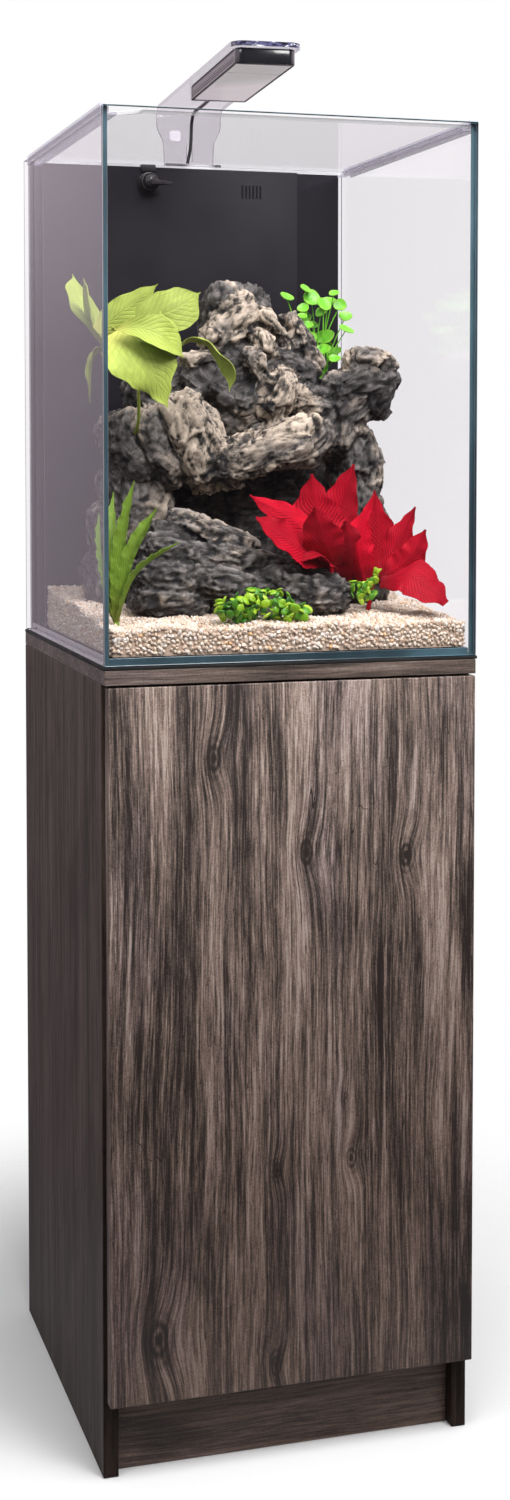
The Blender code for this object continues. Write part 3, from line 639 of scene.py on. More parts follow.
CORD_ROUTE = (
    (-0.0060, 0.0800, 1.4598),
    (-0.0025, 0.1300, 1.4590),
    (0.0005, 0.1750, 1.4592),
    (0.0025, 0.1935, 1.4565),
    (0.0032, 0.2030, 1.4460),
    (0.0034, 0.2052, 1.4320),
    (0.0031, 0.2078, 1.4200),
    (0.0030, 0.2135, 1.4110),
    (0.0026, 0.2195, 1.4040),
    (0.0022, 0.2228, 1.3900),
    (0.0020, 0.2243, 1.3600),
    (0.0030, 0.2250, 1.2500),
    (0.0045, 0.2252, 1.0500),
    (0.0030, 0.2250, 0.8000),
    (0.0010, 0.2250, 0.5500),
    (0.0015, 0.2250, 0.3000),
    (0.0035, 0.2252, 0.1100),
    (0.0060, 0.2285, 0.0520),
    (0.0110, 0.2360, 0.0200),
    (0.0180, 0.2450, 0.0060),
    (0.0290, 0.2550, 0.0024),
    (0.0430, 0.2610, 0.0024),
    (0.0570, 0.2580, 0.0026),
    (0.0700, 0.2500, 0.0055),
    (0.0800, 0.2450, 0.0092),
    (0.0900, 0.2440, 0.0100),
)
CORD_EXIT = (-0.011018, 0.048470, 1.460000)


class AQUARIUM_OT_cord(bpy.types.Operator):
    """Adds the lamp's cord and its sleeve, and finishes the plug-in supply on its end"""

    bl_idname = "aquarium.cord"
    bl_label = "Cord"

    def execute(self, context):
        settings = context.scene.aquarium.lamp
        route = smooth_route((CORD_EXIT,) + CORD_ROUTE, 0.006)
        curve = bpy.data.curves.new("cord", "CURVE")
        curve.dimensions = "3D"
        curve.bevel_depth = settings.cord_diameter / 2
        curve.bevel_resolution = 3
        curve.use_fill_caps = True
        spline = curve.splines.new("POLY")
        spline.points.add(len(route) - 1)
        for point, place in zip(spline.points, route):
            point.co = (*place, 1)
        curve.materials.append(moulded("cord_jacket", settings.cord_colour, 0.42, 1500.0))
        cord = bpy.data.objects.new("power_cord", curve)
        context.scene.collection.objects.link(cord)
        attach(cord, LAMP)
        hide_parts("lamp_cord")
        sleeve = self.sleeve(route)
        paint("power_plug", moulded("plug_plastic", (0.016, 0.016, 0.018), 0.38))
        sum((b - a).length for a, b in zip(route, route[1:]))
        return {"FINISHED"}

    def sleeve(self, route):
        """The ribbed, tapered sleeve where the cord leaves the lamp."""
        shape = bmesh.new()
        ahead = (route[3] - route[0]).normalized()
        across = ahead.orthogonal().normalized()
        up = ahead.cross(across)
        rings = []
        steps, sides, reach = 20, 16, 0.018
        for i in range(steps + 1):
            s = i / steps
            radius = 0.0034 - 0.0011 * s - (0.00035 if i % 3 == 2 and i < steps - 1 else 0.0)
            turns = [2 * math.pi * k / sides for k in range(sides)]
            middle = route[0] + ahead * (reach * s)
            rim = [middle + (across * math.cos(t) + up * math.sin(t)) * radius for t in turns]
            rings.append([shape.verts.new(place) for place in rim])
        shape.faces.new(rings[0][::-1])
        shape.faces.new(rings[-1])
        for a, b in zip(rings, rings[1:]):
            for k in range(sides):
                shape.faces.new((a[k], a[(k + 1) % sides], b[(k + 1) % sides], b[k]))
        bmesh.ops.recalc_face_normals(shape, faces=shape.faces)
        rubber = moulded("sleeve_rubber", (0.020, 0.020, 0.022), 0.6)
        return piece("cord_sleeve", smooth(to_mesh(shape, "cord_sleeve")), LAMP, (), (rubber,))


# Cabinet ----------------------------------------------------------------


class AQUARIUM_OT_cabinet(bpy.types.Operator):
    """Finishes the cabinet's boards, door and hardware"""

    bl_idname = "aquarium.cabinet"
    bl_label = "Cabinet"

    def execute(self, context):
        tone = context.scene.aquarium.wood.side_tone
        # foot paints shade on each board, darker towards its bottom
        side = wood("side_grain", 1, 2, tone, 0.55, seed=7.0, foot=0.28, shine=0.10)
        level = wood("level_grain", 2, 0, 0.66, 0.8, seed=3.0)
        inner = wood("inner_grain", 1, 0, tone, 0.5, seed=5.0)
        refined("door", wood("door_grain", 0, 2, 1.10, 1.25, KNOTS, foot=0.70), 0.0006)
        for node in ("side_panel_left", "side_panel_right"):
            refined(node, side)
        for node in ("top_panel", "plinth"):
            refined(node, level)
        for node in ("bottom_panel", "rear_rail", "shelf"):
            refined(node, inner)
        refined("back_panel", moulded("hardboard", (0.085, 0.065, 0.055), 0.75, 500.0, 0.0002))
        self.hardware()
        return {"FINISHED"}

    def hardware(self):
        steel = metal("hinge_steel", (0.60, 0.60, 0.61), 0.30)
        for node in NODES:
            if node.startswith(("hinge_", "shelf_pin_")):
                refined(node, steel, 0.0003)
        grey = moulded("latch_plastic", (0.27, 0.27, 0.28), 0.5)
        for node in ("latch_body", "latch_plunger"):
            refined(node, grey, 0.0004)
        refined("foam_mat", moulded("foam", (0.010, 0.010, 0.011), 0.95, 400.0, 0.0004), 0.0005)


# Tank -------------------------------------------------------------------


class AQUARIUM_OT_glass(bpy.types.Operator):
    """Finishes the tank's panes, and the cover with its rails"""

    bl_idname = "aquarium.glass"
    bl_label = "Glass"

    def execute(self, context):
        settings = context.scene.aquarium.glass
        pane = see_through("pane", tuple(settings.tint), settings.gloss)
        lid = see_through("lid", tuple(settings.tint), settings.gloss * 0.75)
        lid_edge = moulded("lid_edge", (0.86, 0.88, 0.88), 0.15, 700.0, 0.00002, Alpha=0.6)
        edge = sawn_edge("pane_edge", settings.edge)
        thin = {"glass_front": 1, "glass_left": 0, "glass_right": 0, "glass_bottom": 2, "cover_glass": 2}
        for node, axis in thin.items():
            lid_here = node == "cover_glass"
            finishes = (lid, lid_edge) if lid_here else (pane, edge)
            clear_sheet(
                "pane_" + node, node, finishes,
                lambda n, p, a=axis: int(not (abs(n[a]) > 0.95 or (a == 0 and n.y > 0.95))),
            )
        finish = Finish("black_glass")
        haze = finish.noise(14.0, 3.0)
        shade = finish.mix(haze, (0.014, 0.013, 0.016), (0.018, 0.017, 0.021))
        refined("glass_back", finish.set(shade, finish.span(haze, 0.3, 0.7, 0.05, 0.09)))
        rail = see_through("rail_plastic", (0.955, 0.95, 0.985), 0.5, 3.0, 0.06)
        rail_edge = moulded("rail_edge", (0.66, 0.64, 0.78), 0.15, 700.0, 0.00002, Alpha=0.40)
        for node in ("cover_rail_left", "cover_rail_right"):
            clear_sheet(
                "clear_" + node, node, (rail, rail_edge),
                lambda n, p: int(abs(n.x) >= 0.5 or abs(n.y) >= 0.5),
            )
        return {"FINISHED"}


class AQUARIUM_OT_filter(bpy.types.Operator):
    """Finishes the filter behind its black wall, and the nozzle"""

    bl_idname = "aquarium.filter"
    bl_label = "Filter"

    def execute(self, context):
        finish = Finish("filter_acrylic")
        haze = finish.noise(9.0, 4.0, 0.6)
        shade = finish.mix(haze, (0.009, 0.0078, 0.0115), (0.013, 0.0112, 0.016))
        rough = finish.span(haze, 0.3, 0.7, 0.30, 0.38)
        wall = finish.set(shade, rough, Specular_IOR_Level=0.25)
        for node in ("filter_wall", "filter_end_wall", "filter_baffle_left", "filter_baffle_right"):
            refined(node, wall)
        black = moulded("filter_plastic", (0.018, 0.017, 0.019), 0.34)
        for node in ("media_basket", "pump_housing", "riser_hose", "outlet_socket", "outlet_clip"):
            refined(node, black, 0.0004)
        for node in ("nozzle_collar", "nozzle_spout"):
            refined(node, black, 0.0003)
        refined("impeller", moulded("impeller_plastic", (0.30, 0.30, 0.31), 0.4), 0.0003)
        foam = Finish("filter_foam")
        holes = foam.cells(650.0)
        # painted shade: near black in the pores of the sponge
        shade = foam.ramp(
            holes, (0.0, (0.006, 0.007, 0.012)), (0.45, (0.045, 0.055, 0.085)), (0.8, (0.09, 0.11, 0.16))
        )
        refined("filter_sponge", foam.set(shade, 0.95, foam.bump(holes, 0.0012)))
        rings = Finish("filter_ceramic")
        holes = rings.cells(140.0)
        # painted shade: dark in the gaps between the ceramic rings, pale on their tops
        shade = rings.ramp(
            holes, (0.0, (0.75, 0.69, 0.58)), (0.5, (0.62, 0.56, 0.46)), (0.8, (0.12, 0.10, 0.08))
        )
        refined("ceramic_media", rings.set(shade, 0.9, rings.bump(rings.times(holes, -1.0), 0.003)))
        return {"FINISHED"}


PAD_AT = (-0.0160, 0.2082, 1.4340)
PAD_SIZE = (0.0140, 0.0009, 0.0125)


class AQUARIUM_OT_lamp(bpy.types.Operator):
    """Finishes the lamp, its clear arm and its clamp"""

    bl_idname = "aquarium.lamp"
    bl_label = "Lamp"

    def execute(self, context):
        black = moulded("lamp_cap", (0.010, 0.010, 0.013), 0.16, 300.0, 0.00001, Coat_Weight=0.4)
        refined("lamp_end_front", black, 0.0009, segments=3)
        refined("lamp_end_rear", black, 0.0008)
        refined("rim_clamp", black, 0.0004)
        refined("lamp_housing", self.ribbed_aluminium())
        finish = Finish("lamp_diffuser")
        ribs = finish.noise(1.0, 2.0, point=finish.stretched((40.0, 260.0, 40.0)))
        shade = finish.mix(ribs, (0.78, 0.72, 0.75), (0.88, 0.84, 0.87))
        join = finish.math("ABSOLUTE", finish.minus(finish.split()[1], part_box("lamp_lens")[0].y + 0.050))
        shade = finish.mix(finish.span(join, 0.0010, 0.0024, 0.75, 0.0), shade, (0.20, 0.17, 0.19))
        finish.shader.inputs["Emission Color"].default_value = (1.0, 0.94, 0.97, 1.0)
        lens = finish.set(shade, 0.22, finish.bump(ribs, 0.0001), Coat_Weight=0.5, Emission_Strength=0.36)
        refined("lamp_lens", lens, 0.0004)
        face = see_through("arm_acrylic", (0.925, 0.905, 0.93), 0.34, 3.0, 0.05)
        edge = moulded("arm_edge", (0.42, 0.40, 0.52), 0.08, 500.0, 0.00001, Alpha=0.6)
        shape = bmesh.new()
        bmesh.ops.create_cube(
            shape, size=1, matrix=Matrix.Translation(PAD_AT) @ Matrix.Diagonal((*PAD_SIZE, 1))
        )
        bmesh.ops.bevel(
            shape,
            geom=[e for e in shape.edges if abs((e.verts[0].co - e.verts[1].co).y) > 0.0005],
            offset=0.0035,
            segments=4,
            profile=0.5,
            affect="EDGES",
        )
        pad = moulded("arm_pad", (0.86, 0.85, 0.88), 0.3, 500.0, 0.00002)
        piece("arm_pad", smooth(to_mesh(shape, "arm_pad")), LAMP, (), (pad,))
        painted_glint_edge = Finish("arm_nose")
        glints = painted_glint_edge.noise(1.0, 3.0, 0.6, point=painted_glint_edge.stretched((120.0, 300.0, 420.0)))
        # painted glints: bands of near black, dark violet and white along the arm's clear front edge
        shade = painted_glint_edge.ramp(
            glints,
            (0.40, (0.008, 0.008, 0.012)),
            (0.50, (0.030, 0.028, 0.060)),
            (0.56, (0.110, 0.105, 0.230)),
            (0.60, (0.020, 0.020, 0.035)),
            (0.66, (0.750, 0.750, 0.800)),
        )
        painted_glint_edge = painted_glint_edge.set(shade, 0.08, Coat_Weight=0.5)

        def which(n, p):
            if p.y < -0.17 + 0.004 and n.y < -0.2:
                return 2
            return int(abs(n.x) >= 0.5 or (n.y < -0.5 and p.y < -0.17) or (n.z < -0.5 and p.z < 1.405))

        clear_sheet("arm_sheet", "lamp_bracket", (face, edge, painted_glint_edge), which)
        return {"FINISHED"}

    def ribbed_aluminium(self):
        """Extruded aluminium, with painted shade between its long ribs and a painted shadow line along its
        top and bottom, where the arm and the lens meet it.
        """
        finish = Finish("lamp_aluminium")
        low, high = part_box("lamp_housing")
        z = finish.split()[2]
        ribs = finish.math("SINE", finish.times(z, 2 * math.pi / 0.0021))
        brushed = finish.noise(1.0, 3.0, point=finish.stretched((900.0, 30.0, 900.0)))
        # painted shade and light across the ribs: dark in the grooves, pale on the crests
        shade = finish.mix(finish.span(ribs, -1.0, 1.0), (0.150, 0.125, 0.140), (0.42, 0.37, 0.40))
        shade = finish.mix(finish.times(brushed, 0.3), shade, (0.55, 0.50, 0.53))
        # painted shadow lines along the top and bottom of the housing, where the arm and the lens meet it
        ends = finish.times(
            finish.span(z, low.z + 0.0006, low.z + 0.0016),
            finish.span(z, high.z - 0.0030, high.z - 0.0018, 1.0, 0.0),
        )
        shade = finish.mix(ends, (0.012, 0.011, 0.013), shade)
        rough = finish.span(brushed, 0.2, 0.8, 0.28, 0.42)
        height = finish.plus(ribs, finish.times(brushed, 0.2))
        return finish.set(shade, rough, finish.bump(height, 0.0002), Metallic=0.6)


# Stone ------------------------------------------------------------------


def value_noise(points, seed):
    """Smooth noise from -1 to 1 at each row of points, with one cell to a unit."""
    table = np.random.default_rng(seed).random(8192) * 2 - 1
    cell = np.floor(points).astype(np.int64)
    part = points - cell
    part = part * part * (3 - 2 * part)
    total = np.zeros(len(points))
    for corner in np.ndindex(2, 2, 2):
        x, y, z = (cell + np.array(corner)).T
        weight = np.prod(np.where(np.array(corner), part, 1 - part), axis=1)
        total += weight * table[(x * 73856093 ^ y * 19349663 ^ z * 83492791) & 8191]
    return total


def fractal(points, seed, octaves):
    return sum(value_noise(points * 2**i, seed + i) / 2**i for i in range(octaves))


def facets(points, seed):
    """Chipped planes, one to a cell: each point's height on its plane, and how near it is to a crack."""
    table = np.random.default_rng(seed).random((8192, 6))
    cell = np.floor(points).astype(np.int64)
    first = np.full(len(points), 9.0)
    second = np.full(len(points), 9.0)
    height = np.zeros(len(points))
    for offset in np.ndindex(3, 3, 3):
        here = cell + np.array(offset) - 1
        x, y, z = here.T
        draw = table[(x * 73856093 ^ y * 19349663 ^ z * 83492791) & 8191]
        away = points - here - draw[:, :3]
        distance = np.linalg.norm(away, axis=1)
        slope = draw[:, 3:] * 2 - 1
        nearer = distance < first
        second = np.where(nearer, first, np.minimum(second, distance))
        first = np.where(nearer, distance, first)
        height = np.where(nearer, (away * slope).sum(axis=1), height)
    return height, np.exp(-(((second - first) / 0.07) ** 2))


# Each slab: centre, half-sizes along its length, height and depth, slope of its length in degrees, paleness.
ARCH_SLABS = (
    ((-14, -2, 1202), (36, 24, 30), 84, 0.2),  # the peak
    ((10, 0, 1204), (34, 22, 30), 66, 0.05),
    ((-8, -14, 1196), (32, 26, 28), 60, 0.8),
    ((-16, -22, 1188), (33, 18, 26), 48, 0.95),
    ((-53, -30, 1154), (20, 10, 24), 10, 0.9),
    ((8, -12, 1190), (26, 12, 26), 30, 0.1),
    ((40, -26, 1184), (31, 9, 28), -48, 0.8),
    ((23, -43, 1169), (24, 10, 22), -45, 0.85),
    ((58, -30, 1150), (30, 14, 32), -32, 0.25),
    ((72, -12, 1176), (36, 13, 30), -62, 0.3),
    ((6, -52, 1143), (27, 13, 26), -64, 0.7),
    ((28, -62, 1115), (30, 17, 30), 62, 1.0),  # the pale block
    ((-6, -56, 1111), (17, 14, 24), 20, 0.15),
    ((-30, -46, 1118), (22, 12, 26), -30, 0.15),
    ((66, -48, 1109), (25, 18, 34), -8, 0.55),
    ((-50, -16, 1130), (30, 26, 36), -40, 0.25),
    ((-82, 4, 1112), (42, 40, 44), 20, 0.15),
    ((-60, -46, 1064), (56, 30, 42), -62, 1.0),  # the long left slab
    ((-96, -26, 1060), (44, 24, 46), -55, 0.45),
    ((-126, -14, 1058), (40, 26, 46), -60, 0.3),
    ((6, -70, 1052), (62, 23, 34), 17, 0.45),  # the brow over the cave
    ((34, -66, 1078), (40, 11, 34), 12, 0.7),
    ((-36, -58, 1040), (30, 20, 32), -40, 0.6),
    ((66, -60, 1066), (28, 22, 32), 35, 0.5),
    ((16, -14, 1110), (66, 62, 50), 15, 0.3),
    ((138, -58, 1145), (27, 21, 28), -18, 0.4),  # the right arm
    ((126, -56, 1128), (42, 19, 34), 12, 0.15),
    ((140, -54, 1118), (28, 24, 30), 70, 0.1),
    ((112, -52, 1102), (36, 26, 34), 40, 0.45),
    ((104, -52, 1080), (32, 22, 32), 75, 0.6),
    ((124, -46, 1048), (36, 24, 34), -75, 0.3),
    ((128, -42, 1006), (38, 26, 34), -80, 0.25),
    ((134, -40, 945), (70, 33, 34), -86, 0.25),
    ((-118, -8, 1006), (40, 34, 38), -70, 0.35),
    ((-128, -3, 958), (45, 36, 40), -75, 0.45),
    ((-134, 0, 910), (45, 38, 42), -80, 0.3),
    ((10, 56, 1020), (110, 110, 34), 0, 0.1),  # the back wall
    ((-50, 50, 935), (70, 55, 30), 20, 0.1),
    ((75, 50, 935), (60, 55, 30), -20, 0.1),
)
LEDGE_SLABS = (
    ((-52, -88, 966), (52, 13, 28), -20, 0.5),
    ((-100, -88, 962), (30, 16, 26), -12, 0.15),
    ((-78, -94, 942), (60, 17, 34), -17, 0.2),
    ((-10, -104, 934), (62, 14, 30), -15, 0.25),
    ((-88, -106, 916), (58, 20, 32), -12, 0.15),
    ((-30, -116, 910), (62, 18, 32), -14, 0.1),
    ((-108, -112, 894), (40, 18, 30), -8, 0.1),
    ((30, -124, 912), (46, 16, 28), -10, 0.05),
    ((52, -130, 902), (36, 21, 26), -8, 0.0),
    ((0, -122, 888), (60, 16, 28), -6, 0.0),
)


# Each leaf: spine and half-widths in mm, side, cup, ripple in mm, waves, twist in degrees, tone, which
# paints light and shade on the whole leaf.
LIME_LEAVES = (
    (((-182, -112, 1178), (-156, -122, 1202), (-121, -128, 1229)), (10, 17, 16, 10, 0),
     (0.55, -0.35, -0.75), 0.2, 1, 1.5, 0, -0.16),
    (((-152, -122, 1176), (-130, -134, 1192), (-104, -140, 1204), (-76, -130, 1221)), (6, 20, 24, 21, 0),
     (0.5, -0.35, -0.8), 0.1, 1.8, 1.4, 6, -0.2),
    (((-172, -148, 1180), (-148, -156, 1181), (-124, -160, 1172), (-101, -154, 1152)), (1, 11, 19, 17, 1),
     (0.25, -0.45, -0.85), -0.28, 1.2, 1.4, 12, -0.02),
    (((-124, -152, 1166), (-120, -150, 1182), (-123, -142, 1200)), (20, 16, 0), (1.0, 0.1, 0.1), 0.25, 0.6,
     1.0, 0, -0.05),
    (((-158, -136, 1184), (-146, -150, 1160), (-132, -156, 1132), (-116, -150, 1099)),
     (26, 39, 37, 27, 12, 0), (0.9, 0.05, 0.4), -0.1, 2, 1.6, 0, 0.18),
    (
     (
         (-104, -112, 1158),
         (-88, -122, 1173),
         (-70, -132, 1171),
         (-55, -140, 1152),
         (-46, -143, 1136),
         (-48, -142, 1117),
     ),
     (8, 13, 14, 12, 11, 0), (0.3, 0.9, 0.2), -0.25, 1.4, 2.0, -50, 0.1),
    (((-150, -60, 1150), (-170, -50, 1190), (-182, -40, 1240)), (6, 24, 30, 22, 0), (0.25, 1.0, -0.1), 0.15,
     1.4, 1.4, 10, 0.0),
    (((-148, -30, 1160), (-164, -10, 1205), (-180, 30, 1250)), (6, 22, 30, 24, 0), (0.6, 0.8, 0.1), 0.2,
     1.4, 1.4, 0, 0.0),
    (((-150, -70, 1150), (-176, -70, 1156), (-185, -85, 1105)), (6, 18, 24, 18, 0), (0.2, 1.0, 0.0), -0.2,
     1.4, 1.2, 0, 0.0),
)

# The far ends of its stalks, in mm.
LIME_STALKS = (
    (-168, -120, 1184),
    (-146, -122, 1178),
    (-166, -134, 1180),
    (-150, -60, 1152),
    (-148, -30, 1160),
    (-104, -112, 1160),
)

# Each leaf: spine and half-widths in mm, side, cup, twist in degrees, tone, which paints light and shade on
# the whole leaf.
RED_LEAVES = (
    (((66, -128, 936), (24, -140, 980), (-28, -150, 1008)), (8, 17, 20, 16, 8, 1), (0.3, 0.3, 1.0), 0.25,
     15, 0.15),
    (((58, -134, 938), (18, -150, 958), (-24, -160, 984)), (8, 18, 22, 20, 13, 3), (0.2, 0.5, 0.9), -0.2,
     10, -0.05),
    (((68, -122, 930), (56, -120, 980), (50, -122, 1030)), (12, 24, 28, 24, 12, 1), (1.0, -0.1, 0.1), 0.22,
     -8, -0.02),
    (((74, -118, 930), (86, -112, 985), (100, -116, 1040)), (12, 23, 26, 21, 12, 2), (1.0, 0.15, -0.1), 0.2,
     12, 0.0),
    (((70, -138, 930), (52, -156, 958), (38, -166, 996)), (8, 17, 20, 14, 1), (0.9, -0.4, 0.3), 0.2, 10,
     -0.1),
    (((106, -132, 912), (94, -142, 958), (112, -148, 1008)), (7, 14, 15, 11, 4, 1), (0.8, -0.7, 0.1), 0.35,
     20, 0.55),
    (((114, -126, 912), (122, -130, 960), (117, -134, 1012)), (10, 22, 26, 20, 8, 1), (1.0, 0.3, 0.0), 0.2,
     -15, 0.02),
    (((122, -128, 912), (146, -134, 958), (163, -138, 994)), (6, 14, 17, 13, 6, 1), (0.8, -0.3, -0.6), 0.25,
     10, 0.0),
    (((126, -134, 916), (152, -150, 938), (168, -156, 970)), (6, 12, 15, 10, 1), (0.7, -0.2, -0.7), 0.3, 0,
     0.1),
    (((122, -140, 912), (146, -164, 922), (168, -180, 906), (180, -186, 892)), (6, 18, 23, 19, 4),
     (0.5, 0.6, 0.7), -0.15, 0, -0.12),
    (((72, -136, 930), (46, -154, 944), (20, -158, 936)), (5, 9, 10, 6, 1), (0.2, 0.9, 0.3), -0.2, 0, -0.2),
    (((96, -120, 912), (88, -140, 948), (80, -146, 980)), (8, 18, 18, 12, 2), (1.0, -0.2, 0.1), 0.25, 0,
     -0.3),
)

# Each leaf: spine after its root and half-widths in mm, side, cup, twist in degrees.
SWORD_LEAVES = (
    (((-172, -170, 955), (-157, -168, 1025)), (3, 6, 7.5, 7, 5, 0.6), (1.0, 0.3, -0.2),
     0.4, 15),
    (((-164, -172, 945), (-134, -172, 997)), (3, 6, 7, 6, 0.6), (1.0, 0.3, -0.6), 0.4,
     0),
    (((-156, -176, 930), (-112, -178, 962)), (3, 6, 7, 5, 0.6), (0.3, 0.8, -0.3), 0.4,
     0),
    (((-180, -160, 930), (-172, -156, 962)), (3, 8, 9, 6, 1), (1.0, -0.2, 0.0), 0.3, 0),
    (((-186, -150, 940), (-184, -120, 990)), (3, 6, 7, 6, 0.6), (0.4, 0.8, 0.0), 0.4, 0),
    (((-176, -150, 955), (-168, -120, 1012)), (3, 6, 7, 6, 0.6), (0.8, 0.5, 0.0), 0.4,
     0),
)

# X and Z of each round leaf, and its radius, in mm.
ROUND_LEAVES = (
    (73, 1231, 7), (92, 1240, 6.2), (101, 1230, 8.8), (107, 1222, 7.8), (120, 1235, 5.2), (123, 1226, 8),
    (131, 1222, 6.4), (145, 1210, 6.6), (115, 1214, 5.6), (98, 1208, 6.4), (135, 1194, 7.8),
    (121, 1186, 10.4), (85, 1198, 6), (93, 1184, 6.8), (105, 1170, 8), (126, 1174, 6.6), (137, 1170, 5.8),
    (88, 1218, 5.8), (112, 1200, 5.2), (80, 1208, 5.5), (118, 1160, 6), (99, 1160, 5.5),
)


def metres(values):
    """A number of millimetres in metres, or each number of nested tuples."""
    if isinstance(values, tuple):
        return tuple(metres(value) for value in values)
    return values / 1000


def slab_frame(centre, sizes, slope):
    """The matrix from a unit ball to a slab: its length slopes in the XZ plane, its depth is along Y."""
    turn = Matrix.Rotation(-math.radians(slope), 4, "Y")
    return Matrix.Translation(centre) @ turn @ Matrix.Diagonal((sizes[0], sizes[2], sizes[1], 1))


def gravel_top(y):
    """Height of the gravel, which rises towards the back."""
    low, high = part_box("gravel_bed")
    front = context_settings().gravel.front_height
    t = (y - low.y) / (high.y - low.y)
    return front + (high.z - front) * t


def context_settings():
    return bpy.context.scene.aquarium


def carved(name, slabs, settings, seed, layers, dim):
    """One rock: squared boulders fused, then layered, creased and pitted along each boulder's own grain."""
    shape = bmesh.new()
    frames = []
    for centre, sizes, slope, _ in slabs:
        frame_of = slab_frame(metres(centre), metres(sizes), slope)
        frames.append(frame_of)
        ball = bmesh.ops.create_icosphere(shape, subdivisions=3, radius=1)["verts"]
        for v in ball:
            squared = Vector([math.copysign(abs(c) ** 0.62, c) for c in v.co])
            v.co = frame_of @ (squared * 1.04)
    work = loose(name, to_mesh(shape, name))
    remesh = work.modifiers.new("Remesh", "REMESH")
    remesh.mode = "VOXEL"
    remesh.voxel_size = settings.detail
    mesh = settled(work)
    count = len(mesh.vertices)
    points = np.empty(count * 3, np.float32)
    mesh.vertices.foreach_get("co", points)
    points = points.reshape(-1, 3).astype(float)
    normals = np.empty(count * 3, np.float32)
    mesh.vertex_normals.foreach_get("vector", normals)
    normals = normals.reshape(-1, 3).astype(float)

    warp = np.stack([fractal(points * 30 + 7 * i, seed + 40 + i, 2) for i in range(3)], axis=1) * 0.006
    bent = points + warp
    near = np.full(count, 1e9)
    second = np.full(count, 1e9)
    along = np.zeros((count, 3))
    pale = np.zeros(count)
    for number, (matrix, slab) in enumerate(zip(frames, slabs)):
        inverse = np.array(matrix.inverted())
        local = bent @ inverse[:3, :3].T + inverse[:3, 3]
        distance = np.linalg.norm(local, axis=1)
        nearer = distance < near
        second = np.where(nearer, near, np.minimum(second, distance))
        near[nearer] = distance[nearer]
        wide, tall, deep = metres(slab[1])
        measured = local * np.array([wide, deep, tall]) + number * 3.7
        along[nearer] = measured[nearer]
        pale[nearer] = slab[3]
    joint = np.exp(-(((second - near) / 0.055) ** 2)) * np.clip(1.4 - near, 0, 1)
    slabs_of, cracks = facets(along * np.array([26.0, 48.0, 48.0]) + warp * 40, seed + 1)
    chips, splits = facets(along * np.array([70.0, 150.0, 170.0]) + warp * 90, seed + 2)
    ribs = np.abs(value_noise(along * np.array([60.0, 240.0, 300.0]), seed + 3)) ** 0.7
    bulge = fractal(bent * 22, seed + 4, 3)
    pits = np.clip(fractal(bent * 170, seed + 6, 3) - 0.2, 0, 1)
    grain = fractal(bent * 420, seed + 9, 2)
    depth = settings.relief
    blocky = 1.5 - 0.7 * (layers - 0.5)
    height = depth * (
        blocky * (bulge + 1.1 * slabs_of + 0.5 * chips) + layers * (ribs - 0.5) - 0.7 * pits + 0.2 * grain
    )
    height -= depth * (0.9 * joint + 0.25 * cracks + 0.15 * splits)
    points += normals * height[:, None]

    # painted shade: low in the creases, joints, cracks and pits, where the stone's colour goes dark
    painted_crease_shade = np.clip(
        (0.30 + 0.25 * layers) * ribs + 0.16 * bulge + 0.18 * chips - 0.6 * pits + 0.46 - dim, 0, 1
    )
    painted_crease_shade = np.clip(painted_crease_shade - 0.66 * joint - 0.26 * cracks - 0.14 * splits, 0, 1)
    tone = np.clip(pale + 0.35 * fractal(bent * 20, seed + 12, 3) + 0.25 * slabs_of, 0, 1)
    points = np.clip(points, np.array([-0.188, -0.205, 0]), np.array([0.188, 0.122, 2.0]))
    mesh.vertices.foreach_set("co", points.astype(np.float32).ravel())
    for attribute, values in (("painted_crease_shade", painted_crease_shade), ("paleness", tone)):
        layer = mesh.attributes.new(attribute, "FLOAT", "POINT")
        layer.data.foreach_set("value", values.astype(np.float32))
    layer = mesh.attributes.new("grain", "FLOAT_VECTOR", "POINT")
    layer.data.foreach_set("vector", along.astype(np.float32).ravel())
    mesh.update()
    mesh.shade_smooth()
    return sunk(mesh)


def sunk(mesh):
    """Cuts off what lies deeper than a little way into the gravel, and closes the cut."""
    shape = bmesh.new()
    shape.from_mesh(mesh)
    rise = gravel_top(1.0) - gravel_top(0.0)
    level = Vector((0, 0, gravel_top(0.0) - 0.0025))
    parts = shape.verts[:] + shape.edges[:] + shape.faces[:]
    cut = bmesh.ops.bisect_plane(
        shape, geom=parts, plane_co=level, plane_no=(0, rise, -1), clear_outer=True
    )
    rim = [e for e in cut["geom_cut"] if isinstance(e, bmesh.types.BMEdge)]
    bmesh.ops.contextual_create(shape, geom=rim)
    shape.to_mesh(mesh)
    shape.free()
    return mesh


